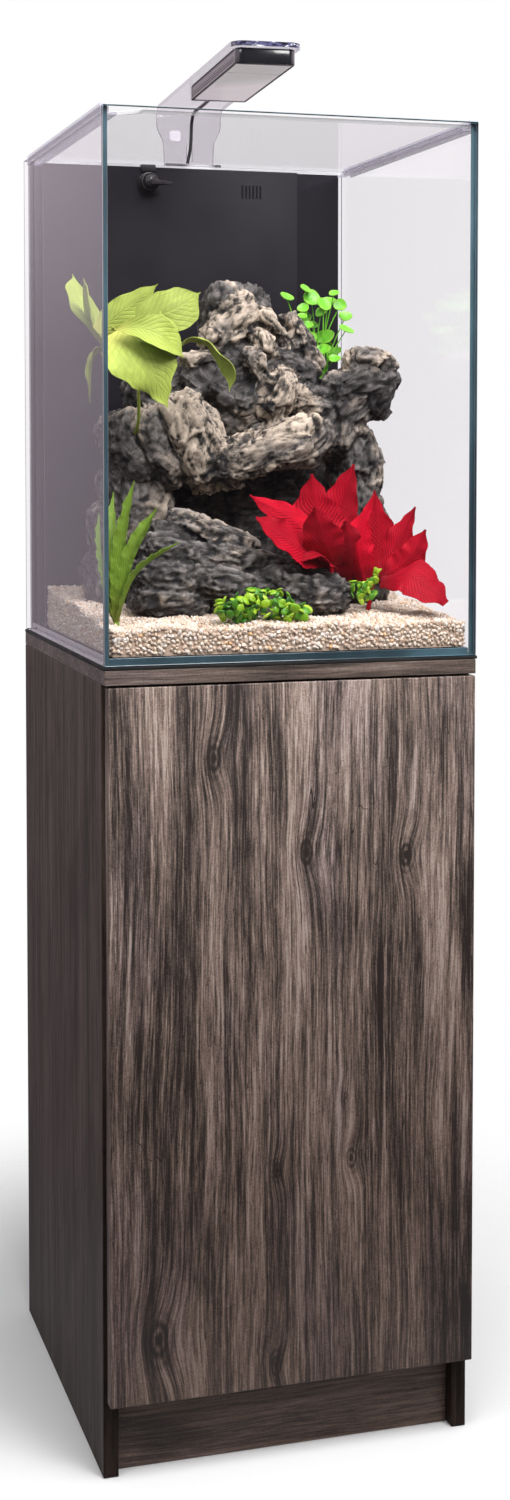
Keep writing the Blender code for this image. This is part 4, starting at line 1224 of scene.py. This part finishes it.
def stone():
    """Resin rock: nearly black in its creases, which is painted shade, and tan where it stands proud."""
    settings = context_settings().rock
    finish = Finish("rock")
    painted_crease_shade = finish.attribute("painted_crease_shade")
    pale = finish.attribute("paleness")
    along = finish.add("ShaderNodeAttribute", attribute_name="grain").outputs["Vector"]
    fibre = finish.noise(1.0, 4.0, 0.68, point=finish.stretched((110.0, 480.0, 560.0), along))
    speck = finish.noise(700.0, 3.0, 0.7)
    blotch = finish.noise(60.0, 4.0, 0.6)
    rough = finish.plus(finish.times(fibre, 0.62), finish.times(speck, 0.38))
    proud = finish.plus(painted_crease_shade, finish.times(finish.minus(rough, 0.5), 1.12))
    middle, light = tuple(settings.middle), tuple(settings.light)
    grey = finish.ramp(
        proud,
        (0.14, settings.dark),
        (0.42, around(middle, 0.42)),
        (0.66, middle),
        (0.95, around(middle, 2.2)),
    )
    tan = finish.ramp(
        proud,
        (0.14, settings.dark),
        (0.36, around(light, 0.30)),
        (0.54, around(light, 0.95)),
        (0.95, around(light, 1.75)),
    )
    patch = finish.plus(pale, finish.times(finish.minus(blotch, 0.5), 0.8))
    shade = finish.mix(finish.span(patch, 0.28, 0.80), grey, tan)
    height = finish.plus(finish.times(rough, 1.0), finish.times(finish.noise(1400.0, 2.0), 0.2))
    return finish.set(
        shade,
        finish.span(speck, 0.3, 0.7, 0.95, 0.7),
        finish.bump(height, 0.0012, 0.8),
        Specular_IOR_Level=0.3,
    )


class AQUARIUM_OT_rocks(bpy.types.Operator):
    """Adds the rock arch and the ledge before it"""

    bl_idname = "aquarium.rocks"
    bl_label = "Rocks"

    def execute(self, context):
        settings = context.scene.aquarium.rock
        finish = stone()
        for name, node, slabs, seed, layers, dim in (
            ("stone_arch", "rock_arch", ARCH_SLABS, 11, 0.55, 0.0),
            ("stone_ledge", "rock_ledge", LEDGE_SLABS, 31, 2.0, 0.21),
        ):
            piece(name, carved(name, slabs, settings, seed, layers, dim), STAND, (node,), (finish,))
        return {"FINISHED"}


# Gravel -----------------------------------------------------------------


class Nodes(Tree):
    """A Geometry Nodes tree with named inputs."""

    def __init__(self, name):
        super().__init__(bpy.data.node_groups.new(name, "GeometryNodeTree"))
        self.tree.interface.new_socket("Geometry", in_out="INPUT", socket_type="NodeSocketGeometry")
        self.tree.interface.new_socket("Geometry", in_out="OUTPUT", socket_type="NodeSocketGeometry")
        self.start = self.tree.nodes.new("NodeGroupInput")
        self.end = self.tree.nodes.new("NodeGroupOutput")

    def input(self, name, kind):
        self.tree.interface.new_socket(name, in_out="INPUT", socket_type="NodeSocket" + kind)
        return self.start.outputs[name]

    def random(self, low, high, seed, kind="FLOAT"):
        node = self.add("FunctionNodeRandomValue", data_type=kind)
        first = {"FLOAT": 2, "FLOAT_VECTOR": 0}[kind]
        node.inputs[first].default_value = low
        node.inputs[first + 1].default_value = high
        node.inputs["Seed"].default_value = seed
        return node.outputs[{"FLOAT": 1, "FLOAT_VECTOR": 0}[kind]]

    def finish(self, instances, material):
        """Gives each instance a tone of its own, then makes one painted mesh of them."""
        inputs = {0: instances, "Name": "tone", "Value": self.random(0.0, 1.0, 8)}
        kinds = {"domain": "INSTANCE", "data_type": "FLOAT"}
        toned = self.add("GeometryNodeStoreNamedAttribute", inputs, **kinds)
        real = self.add("GeometryNodeRealizeInstances", {0: toned.outputs[0]})
        painted = self.add("GeometryNodeSetMaterial", {0: real.outputs[0], "Material": material})
        self.tree.links.new(painted.outputs[0], self.end.inputs[0])

    def run(self, name, mesh, **values):
        """The mesh that the tree makes from this one."""
        work = loose(name, mesh)
        modifier = work.modifiers.new(name, "NODES")
        modifier.node_group = self.tree
        for item in self.tree.interface.items_tree:
            if item.in_out == "INPUT" and item.name in values:
                modifier[item.identifier] = values[item.name]
        return settled(work)


def pebble_tree(material):
    """Scatters turned, stretched pebbles over a surface, with a tone for each."""
    tree = Nodes("pebbles")
    grain = tree.input("Grain", "Float")
    spacing = tree.input("Spacing", "Float")
    seed = tree.input("Seed", "Int")
    inputs = {0: tree.start.outputs[0], "Distance Min": spacing, "Density Max": 400000.0, "Seed": seed}
    points = tree.add("GeometryNodeDistributePointsOnFaces", inputs, distribute_method="POISSON")
    pebble = tree.add("GeometryNodeMeshIcoSphere", {"Radius": 0.5, "Subdivisions": 1})
    size = tree.random((0.75, 0.62, 0.55), (1.25, 1.0, 0.9), 5, "FLOAT_VECTOR")
    for by in (grain, tree.random(0.72, 1.22, 6)):
        size = tree.add("ShaderNodeVectorMath", {0: size, "Scale": by}, operation="SCALE").outputs[0]
    turn = tree.random((0.0, 0.0, 0.0), (6.283, 6.283, 6.283), 7, "FLOAT_VECTOR")
    inputs = {0: points.outputs[0], "Instance": pebble.outputs[0], "Rotation": turn, "Scale": size}
    stones = tree.add("GeometryNodeInstanceOnPoints", inputs)
    tree.finish(stones.outputs[0], material)
    return tree


class AQUARIUM_OT_gravel(bpy.types.Operator):
    """Adds the gravel, heaped towards the back"""

    bl_idname = "aquarium.gravel"
    bl_label = "Gravel"

    def execute(self, context):
        settings = context.scene.aquarium.gravel
        finish = Finish("gravel")
        tone = finish.attribute("tone")
        shade = finish.ramp(
            tone,
            (0.0, (0.55, 0.42, 0.32)),
            (0.25, (0.70, 0.57, 0.45)),
            (0.55, (0.77, 0.66, 0.54)),
            (0.80, (0.84, 0.76, 0.67)),
            (0.93, (0.88, 0.82, 0.75)),
            (1.0, (0.74, 0.46, 0.20)),
        )
        spots = finish.noise(600.0, 2.0)
        shade = finish.mix(finish.span(spots, 0.3, 0.75, 0.0, 0.25), shade, (0.50, 0.38, 0.27))
        material = finish.set(shade, 0.8, finish.bump(spots, 0.0003), Specular_IOR_Level=0.3)
        piece("gravel_heap", self.bed(), STAND, ("gravel_bed",), (material,))
        low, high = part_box("gravel_bed")
        inset = settings.grain * 0.55
        over = np.linspace(low.x + inset, high.x - inset, 60)
        back = np.linspace(low.y + inset, high.y - inset, 60)
        top = self.sheet([(x, y, self.height(x, y)) for y in back for x in over], 60)
        wide = high.x - low.x - 2 * inset
        deep = high.y - low.y - 2 * inset
        sides = (
            lambda a: (low.x + inset + wide * a, low.y + inset),
            lambda a: (low.x + inset, low.y + inset + deep * a),
            lambda a: (high.x - inset, low.y + inset + deep * a),
        )
        tree = pebble_tree(material)
        values = {"Grain": settings.grain, "Spacing": settings.spacing}
        piece("gravel_top", tree.run("gravel_top", top, Seed=settings.seed, **values), STAND)
        walls = []
        for place in sides:
            points = []
            for share in (0.0, 0.5, 1.0):
                for a in np.linspace(0, 1, 40):
                    x, y = place(a)
                    bottom = low.z + inset
                    points.append((x, y, bottom + (self.height(x, y) - bottom) * share))
            walls.append(self.sheet(points, 40))
        shape = bmesh.new()
        for wall in walls:
            shape.from_mesh(wall)
        bmesh.ops.recalc_face_normals(shape, faces=shape.faces)
        walls = to_mesh(shape, "gravel_walls")
        piece(
            "gravel_sides",
            tree.run("gravel_sides", walls, Seed=settings.seed + 1, **values),
            STAND,
        )
        return {"FINISHED"}

    def height(self, x, y):
        """The heap's surface, with low waves."""
        wave = noise.noise(
            Vector((x * 16, y * 16, 4.2))
        ) * 0.0040 + noise.noise(Vector((x * 45, y * 45, 1.1))) * 0.0026
        return gravel_top(y) - 0.0022 + wave

    def sheet(self, points, across):
        shape = bmesh.new()
        verts = [shape.verts.new(p) for p in points]
        for row in range(len(points) // across - 1):
            for i in range(across - 1):
                a = row * across + i
                shape.faces.new((verts[a], verts[a + 1], verts[a + across + 1], verts[a + across]))
        return to_mesh(shape, "gravel_sheet")

    def bed(self):
        """The solid heap under the loose pebbles, just inside them."""
        low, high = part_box("gravel_bed")
        inset = context_settings().gravel.grain * 0.62
        shape = bmesh.new()
        count = 40
        xs = np.linspace(low.x + inset, high.x - inset, count)
        ys = np.linspace(low.y + inset, high.y - inset, count)
        rows = [[shape.verts.new((x, y, self.height(x, y) - 0.0007)) for x in xs] for y in ys]
        for a, b in zip(rows, rows[1:]):
            for i in range(count - 1):
                shape.faces.new((a[i], a[i + 1], b[i + 1], b[i]))
        skirt = bmesh.ops.extrude_edge_only(shape, edges=[e for e in shape.edges if e.is_boundary])
        for v in skirt["geom"]:
            if isinstance(v, bmesh.types.BMVert):
                v.co.z = low.z + 0.0004
        rim = [e for e in shape.edges if e.is_boundary]
        bmesh.ops.contextual_create(shape, geom=rim)
        bmesh.ops.recalc_face_normals(shape, faces=shape.faces)
        return to_mesh(shape, "gravel_heap")


# Plants -----------------------------------------------------------------


def leaf(
    shape,
    spine,
    widths,
    side,
    cup=0.0,
    ripple=0.0,
    waves=0.0,
    vein=0.0004,
    twist=0.0,
    columns=10,
    spacing=0.004,
    tone=0.0,
):
    """Adds one leaf along a spine, its half-widths given at even steps, cupped up from its midrib."""
    # tone is painted light and shade: it makes the whole leaf brighter or darker
    layer = shape.verts.layers.float.get("tone") or shape.verts.layers.float.new("tone")
    route = smooth_route(spine, spacing)
    total = len(route) - 1
    uv = shape.loops.layers.uv.verify()
    rows = []
    for i, place in enumerate(route):
        s = i / total
        ahead = (route[min(i + 1, total)] - route[max(i - 1, 0)]).normalized()
        across = Vector(side) - ahead * ahead.dot(Vector(side))
        across.normalize()
        across.rotate(Matrix.Rotation(math.radians(twist) * s, 3, ahead))
        up = ahead.cross(across).normalized()
        at = s * (len(widths) - 1)
        k = min(int(at), len(widths) - 2)
        f = at - k
        f = f * f * (3 - 2 * f)
        half = max(widths[k] * (1 - f) + widths[k + 1] * f, 0.0002)
        row = []
        for j in range(columns + 1):
            u = j / columns * 2 - 1
            edge = abs(u) ** 1.6
            wave = math.sin(
                waves * 2 * math.pi * s + (1.3 if u > 0 else 3.9)
            ) + 0.5 * math.sin(waves * 4.7 * math.pi * s + u)
            lift = cup * half * abs(u) ** 1.5 + ripple * edge * wave * min(1.0, half / 0.006)
            lift -= vein * math.exp(-((u * half / 0.0016) ** 2))
            lift += vein * 0.5 * math.sin(
                (s * total * spacing - abs(u) * half * 0.9) * 2 * math.pi / 0.0050
            ) * min(1, abs(u) * 3)
            outline = 1 + 0.045 * wave * (1 if abs(u) > 0.9 else 0)
            vert = shape.verts.new(place + across * (u * half * outline) + up * lift)
            vert[layer] = tone
            row.append((vert, (j / columns, s)))
        rows.append(row)
    for a, b in zip(rows, rows[1:]):
        for j in range(columns):
            corners = (a[j], a[j + 1], b[j + 1], b[j])
            face = shape.faces.new([c[0] for c in corners])
            for loop, (_, place) in zip(face.loops, corners):
                loop[uv].uv = place


def stalk(shape, points, radius, end_radius=None, sides=7):
    """Adds a round stem through the points, closed at both ends."""
    route = smooth_route(points, max(radius * 3, 0.003))
    uv = shape.loops.layers.uv.verify()
    rings = []
    for i, place in enumerate(route):
        ahead = (route[min(i + 1, len(route) - 1)] - route[max(i - 1, 0)]).normalized()
        across = ahead.orthogonal().normalized() if not rings else (
            across - ahead * across.dot(ahead)
        ).normalized()
        up = ahead.cross(across)
        r = radius + ((end_radius or radius) - radius) * i / (len(route) - 1)
        turns = [2 * math.pi * k / sides for k in range(sides)]
        rings.append(
            [shape.verts.new(place + (across * math.cos(t) + up * math.sin(t)) * r) for t in turns]
        )
    faces = [rings[0][::-1], rings[-1]]
    for a, b in zip(rings, rings[1:]):
        faces += [(a[k], a[(k + 1) % sides], b[(k + 1) % sides], b[k]) for k in range(sides)]
    for corners in faces:
        for loop in shape.faces.new(corners).loops:
            loop[uv].uv = (0.5, 0.3)


def thickened(name, sheets, stems=None, thickness=None):
    """Gives leaf sheets their thickness and joins the stems to them, as one mesh."""
    work = loose(name, to_mesh(sheets, name))
    wall = work.modifiers.new("Solidify", "SOLIDIFY")
    wall.thickness = thickness or context_settings().plants.cloth
    wall.offset = 0
    mesh = settled(work)
    if stems:
        shape = bmesh.new()
        shape.from_mesh(mesh)
        extra = to_mesh(stems, name + "_stems")
        shape.from_mesh(extra)
        mesh = to_mesh(shape, name)
    mesh.shade_smooth()
    mesh.set_sharp_from_angle(angle=math.radians(60))
    return mesh


def leaf_finish(name, body, vein, base, rough=0.6, vein_run=180.0, ribs_share=0.35, shine=0.25):
    """Printed cloth: darker at the foot, veins fanning from the midrib, a mottled print and a fine weave;
    each leaf's tone paints light and shade on it.
    """
    finish = Finish(name)
    uv = finish.split(finish.add("ShaderNodeTexCoord").outputs["UV"])
    off = finish.math("ABSOLUTE", finish.minus(uv[0], 0.5))
    drift = finish.noise(55.0, 3.0)
    shade = finish.mix(finish.span(drift, 0.3, 0.7, 0.0, 0.6), body, around(body, 0.70))
    fan = finish.vector(finish.times(uv[0], 22.0), finish.times(uv[1], 2.5))
    strands = finish.noise(1.0, 4.0, 0.65, point=fan)
    shade = finish.mix(finish.span(strands, 0.42, 0.66, 0.0, 0.60), shade, around(body, 0.60))
    shade = finish.mix(finish.span(uv[1], 0.0, 0.30, 0.75, 0.0), shade, base)
    slant = finish.minus(uv[1], finish.times(off, 0.55))
    wobble = finish.times(finish.noise(90.0, 2.0), 2.5)
    ribs = finish.math("SINE", finish.plus(finish.times(slant, vein_run), wobble))
    line = finish.times(finish.span(ribs, 0.1, 1.0), ribs_share)
    lines = finish.math("MAXIMUM", line, finish.span(off, 0.0, 0.035, 0.8, 0.0))
    shade = finish.mix(finish.times(lines, 0.55), shade, vein)
    # painted light and shade: the tone attribute makes each whole leaf brighter or darker
    painted_leaf_light = finish.plus(finish.attribute("tone"), 1.0)
    shade = finish.mix(
        1.0,
        shade,
        finish.add("ShaderNodeCombineColor", {0: painted_leaf_light, 1: painted_leaf_light, 2: painted_leaf_light}).outputs[0],
        "MULTIPLY",
    )
    cloth = finish.noise(2600.0, 2.0)
    height = finish.plus(finish.times(lines, -1.0), finish.times(cloth, 0.25))
    height = finish.plus(height, finish.times(strands, 0.8))
    return finish.set(shade, rough, finish.bump(height, 0.0006, 0.7), Specular_IOR_Level=shine)


class AQUARIUM_OT_broadleaf(bpy.types.Operator):
    """Adds the plant with large lime leaves"""

    bl_idname = "aquarium.broadleaf"
    bl_label = "Broadleaf plant"

    def execute(self, context):
        lime = tuple(context.scene.aquarium.plants.lime)
        sheets = bmesh.new()
        foot = (-0.132, -0.085, 1.090)
        for spine, widths, side, cup, ripple, waves, twist, tone in LIME_LEAVES:
            spine, widths, ripple = metres((spine, widths, ripple))
            leaf(sheets, spine, widths, side, cup, ripple, waves, 0.00025, twist, 14, 0.0035, tone)
        stems = bmesh.new()
        stalk(stems, ((-0.128, -0.030, 1.060), foot, (-0.140, -0.110, 1.150)), 0.0022, 0.0016)
        for end in metres(LIME_STALKS):
            start = Vector((-0.138, -0.100, 1.135))
            middle = (start + Vector(end)) / 2 + Vector((0, 0, 0.008))
            stalk(stems, (start, middle, end), 0.0013, 0.0010)
        material = leaf_finish("lime_leaf", lime, around(lime, 0.72), (0.60, 0.60, 0.14), 0.55, 75.0, 0.6)
        mesh = thickened("lime_plant", sheets, stems)
        piece("lime_plant", mesh, STAND, ("plant_broadleaf",), (material,))
        return {"FINISHED"}


class AQUARIUM_OT_redleaf(bpy.types.Operator):
    """Adds the plant with ribbed red leaves"""

    bl_idname = "aquarium.redleaf"
    bl_label = "Red plant"

    def execute(self, context):
        red = tuple(context.scene.aquarium.plants.red)
        sheets = bmesh.new()
        for spine, widths, side, cup, twist, tone in RED_LEAVES:
            widths = [half * 1.14 for half in metres(widths)]
            leaf(sheets, metres(spine), widths, side, cup, 0.0015, 2.1, 0.00085, twist, 16, 0.0016, tone)
        stems = bmesh.new()
        stalk(
            stems, ((0.076, -0.120, 0.878), (0.074, -0.124, 0.905), (0.070, -0.126, 0.936)), 0.0030, 0.0022
        )
        stalk(
            stems, ((0.112, -0.124, 0.874), (0.116, -0.126, 0.895), (0.118, -0.128, 0.914)), 0.0028, 0.0022
        )
        material = leaf_finish(
            "red_leaf", red, around(red, 0.50), (0.16, 0.006, 0.012), 0.6, 128.0, 1.3, 0.15
        )
        piece(
            "red_plant",
            thickened("red_plant", sheets, stems),
            STAND,
            ("plant_red",),
            (material,),
        )
        return {"FINISHED"}


class AQUARIUM_OT_swordleaf(bpy.types.Operator):
    """Adds the narrow-leaved plant at the left corner"""

    bl_idname = "aquarium.swordleaf"
    bl_label = "Sword plant"

    def execute(self, context):
        sheets = bmesh.new()
        root = (-0.176, -0.168, 0.880)
        for spine, widths, side, cup, twist in SWORD_LEAVES:
            widths = [1.15 * half for half in metres(widths)]
            spine = (root, *metres(spine))
            leaf(sheets, spine, widths, side, cup, 0.0007, 8.0, 0.0006, twist, 10, 0.0018)
        stems = bmesh.new()
        stalk(stems, ((-0.176, -0.168, 0.870), (-0.176, -0.168, 0.876), root), 0.0036, 0.0030)
        green = (0.17, 0.30, 0.025)
        material = leaf_finish(
            "sword_leaf", green, (0.26, 0.40, 0.06), (0.12, 0.10, 0.015), 0.4, 110.0, 0.8
        )
        piece(
            "sword_plant",
            thickened("sword_plant", sheets, stems),
            STAND,
            ("plant_sword",),
            (material,),
        )
        return {"FINISHED"}


def disc(shape, centre, normal, radius, dish=0.25, sides=14):
    """Adds one round leaf, dished towards its stalk, its far rim wavy."""
    uv = shape.loops.layers.uv.verify()
    normal = Vector(normal).normalized()
    across = normal.orthogonal().normalized()
    up = normal.cross(across)
    rings = []
    for share in (0.0, 0.45, 0.8, 1.0):
        ring = []
        for k in range(sides if share else 1):
            t = 2 * math.pi * k / sides
            wave = 1 + 0.06 * math.sin(3 * t + centre[0] * 400) * share
            flat = (across * math.cos(t) + up * math.sin(t)) * radius * share * wave
            ring.append(shape.verts.new(Vector(centre) + flat - normal * radius * dish * (1 - share**2)))
        rings.append(ring)
    faces = [(rings[0][0], rings[1][k], rings[1][(k + 1) % sides]) for k in range(sides)]
    for a, b in zip(rings[1:], rings[2:]):
        faces += [(a[k], b[k], b[(k + 1) % sides], a[(k + 1) % sides]) for k in range(sides)]
    for corners in faces:
        for loop in shape.faces.new(corners).loops:
            place = loop.vert.co - Vector(centre)
            loop[uv].uv = (0.5 + 0.5 * place.dot(across) / radius, 0.5 + 0.5 * place.dot(up) / radius)


class AQUARIUM_OT_roundleaf(bpy.types.Operator):
    """Adds the plant with round leaves on thin stalks"""

    bl_idname = "aquarium.roundleaf"
    bl_label = "Round-leaved plant"

    def execute(self, context):
        sheets, stems = bmesh.new(), bmesh.new()
        dice = random.Random(5)
        for x, z, size in metres(ROUND_LEAVES):
            y = 0.034 + dice.uniform(-0.022, 0.014)
            centre = Vector((x - (y - 0.03) * 0.3, y, z))
            normal = (dice.uniform(-0.5, 0.5), dice.uniform(-1.0, -0.45), dice.uniform(0.35, 0.9))
            disc(sheets, centre, normal, size * 1.2)
            foot = Vector((0.108 + dice.uniform(-0.008, 0.010), 0.030 + dice.uniform(-0.006, 0.008), 1.128))
            middle = foot.lerp(centre, 0.55) + Vector((dice.uniform(-0.004, 0.004), 0, 0.004))
            under = centre - Vector(normal).normalized() * size * 0.24
            stalk(stems, (foot, middle, under), 0.00085, 0.00065, 5)
        green = tuple(context.scene.aquarium.plants.green)
        finish = Finish("round_leaf")
        drift = finish.noise(90.0, 2.0)
        shade = finish.mix(drift, around(green, 0.62), around(green, 1.25))
        uv = finish.split(finish.add("ShaderNodeTexCoord").outputs["UV"])
        ring = finish.math(
            "MAXIMUM",
            finish.math("ABSOLUTE", finish.minus(uv[0], 0.5)),
            finish.math("ABSOLUTE", finish.minus(uv[1], 0.5)),
        )
        shade = finish.mix(finish.span(ring, 0.25, 0.5, 0.0, 0.35), shade, (0.42, 0.68, 0.10))
        material = finish.set(shade, 0.38, finish.bump(finish.noise(700.0), 0.0002), Subsurface_Weight=0.0)
        mesh = thickened("round_plant", sheets, stems, 0.0009)
        piece("round_plant", mesh, STAND, ("plant_roundleaf",), (material,))
        return {"FINISHED"}


def tuft_tree(material):
    """Sets small spoon-shaped leaves on the points of a mound, facing out and up."""
    tree = Nodes("tufts")
    count = tree.input("Density", "Float")
    size = tree.input("Leaf size", "Float")
    seed = tree.input("Seed", "Int")
    inputs = {0: tree.start.outputs[0], "Density": count, "Seed": seed}
    points = tree.add("GeometryNodeDistributePointsOnFaces", inputs)
    ball = tree.add("GeometryNodeMeshUVSphere", {"Radius": 1.0, "Segments": 10, "Rings": 6})
    flat = tree.add(
        "GeometryNodeTransform",
        {0: ball.outputs[0], "Scale": (1.0, 0.86, 0.26), "Translation": (0.55, 0.0, 0.25)},
    )
    lean = tree.random((-0.75, -0.75, 0.0), (0.75, 0.75, 6.283), 4, "FLOAT_VECTOR")
    turned = tree.add(
        "FunctionNodeRotateRotation", {0: points.outputs["Rotation"], 1: lean}, rotation_space="LOCAL"
    )
    scale = tree.add("ShaderNodeMath", {0: size, 1: tree.random(0.6, 1.25, 9)}, operation="MULTIPLY")
    inputs = {
        0: points.outputs[0],
        "Instance": flat.outputs[0],
        "Rotation": turned.outputs[0],
        "Scale": scale.outputs[0],
    }
    leaves = tree.add("GeometryNodeInstanceOnPoints", inputs)
    tree.finish(leaves.outputs[0], material)
    return tree


class AQUARIUM_OT_carpet(bpy.types.Operator):
    """Adds the low tufts of small leaves on the gravel"""

    bl_idname = "aquarium.carpet"
    bl_label = "Carpet plant"

    def execute(self, context):
        finish = Finish("tuft_leaf")
        shade = finish.ramp(
            finish.attribute("tone"),
            (0.0, (0.025, 0.12, 0.012)),
            (0.35, (0.10, 0.32, 0.015)),
            (0.6, (0.30, 0.52, 0.02)),
            (1.0, (0.50, 0.70, 0.05)),
        )
        shade = finish.mix(
            finish.noise(300.0), shade, finish.mix(1.0, shade, (0.75, 0.85, 0.6), "MULTIPLY")
        )
        material = finish.set(shade, 0.36, finish.bump(finish.noise(900.0), 0.0002))
        tree = tuft_tree(material)
        mounds = bmesh.new()
        for centre, radii in (
            ((-0.052, -0.186, 0.892), (0.024, 0.012, 0.010)),
            ((-0.038, -0.182, 0.898), (0.016, 0.010, 0.014)),
            ((-0.012, -0.184, 0.896), (0.020, 0.012, 0.014)),
            ((0.006, -0.188, 0.888), (0.016, 0.010, 0.007)),
        ):
            place = Matrix.Translation(centre) @ Matrix.Diagonal((*radii, 1))
            bmesh.ops.create_icosphere(mounds, subdivisions=2, radius=1, matrix=place)
        mesh = tree.run("tufts", to_mesh(mounds, "tufts"), Density=21000.0, Seed=2, **{"Leaf size": 0.0052})
        mesh.shade_smooth()
        piece("tuft_front", mesh, STAND, ("plant_carpet",), (material,))
        mounds = bmesh.new()
        for centre, radii in (
            ((0.100, -0.150, 0.906), (0.014, 0.008, 0.012)),
            ((0.124, -0.120, 0.922), (0.008, 0.008, 0.010)),
        ):
            place = Matrix.Translation(centre) @ Matrix.Diagonal((*radii, 1))
            bmesh.ops.create_icosphere(mounds, subdivisions=2, radius=1, matrix=place)
        mesh = tree.run(
            "tufts_rear", to_mesh(mounds, "tufts_rear"), Density=22000.0, Seed=4, **{"Leaf size": 0.0048}
        )
        mesh.shade_smooth()
        piece("tuft_rear", mesh, STAND, (), (material,))
        return {"FINISHED"}


# Panel and start --------------------------------------------------------

OPERATORS = (
    AQUARIUM_OT_stage,
    AQUARIUM_OT_cord,
    AQUARIUM_OT_cabinet,
    AQUARIUM_OT_glass,
    AQUARIUM_OT_filter,
    AQUARIUM_OT_lamp,
    AQUARIUM_OT_gravel,
    AQUARIUM_OT_rocks,
    AQUARIUM_OT_broadleaf,
    AQUARIUM_OT_redleaf,
    AQUARIUM_OT_swordleaf,
    AQUARIUM_OT_roundleaf,
    AQUARIUM_OT_carpet,
)
GROUPS = (
    StageSettings,
    WoodSettings,
    GlassSettings,
    LampSettings,
    GravelSettings,
    RockSettings,
    PlantSettings,
    AquariumSettings,
)


class AQUARIUM_PT_panel(bpy.types.Panel):
    """Lists the aquarium's pieces"""

    bl_idname = "AQUARIUM_PT_panel"
    bl_label = "Aquarium"
    bl_space_type = "VIEW_3D"
    bl_region_type = "UI"
    bl_category = "Aquarium"

    def draw(self, context):
        for operator in OPERATORS:
            self.layout.operator(operator.bl_idname)


def register():
    for cls in GROUPS + OPERATORS + (AQUARIUM_PT_panel,):
        bpy.utils.register_class(cls)
    bpy.types.Scene.aquarium = PointerProperty(type=AquariumSettings)


def unregister():
    del bpy.types.Scene.aquarium
    for cls in reversed(GROUPS + OPERATORS + (AQUARIUM_PT_panel,)):
        bpy.utils.unregister_class(cls)


def main():
    register()
    for operator in OPERATORS:
        group, name = operator.bl_idname.split(".")
        getattr(getattr(bpy.ops, group), name)()


if __name__ == "__main__":
    main()
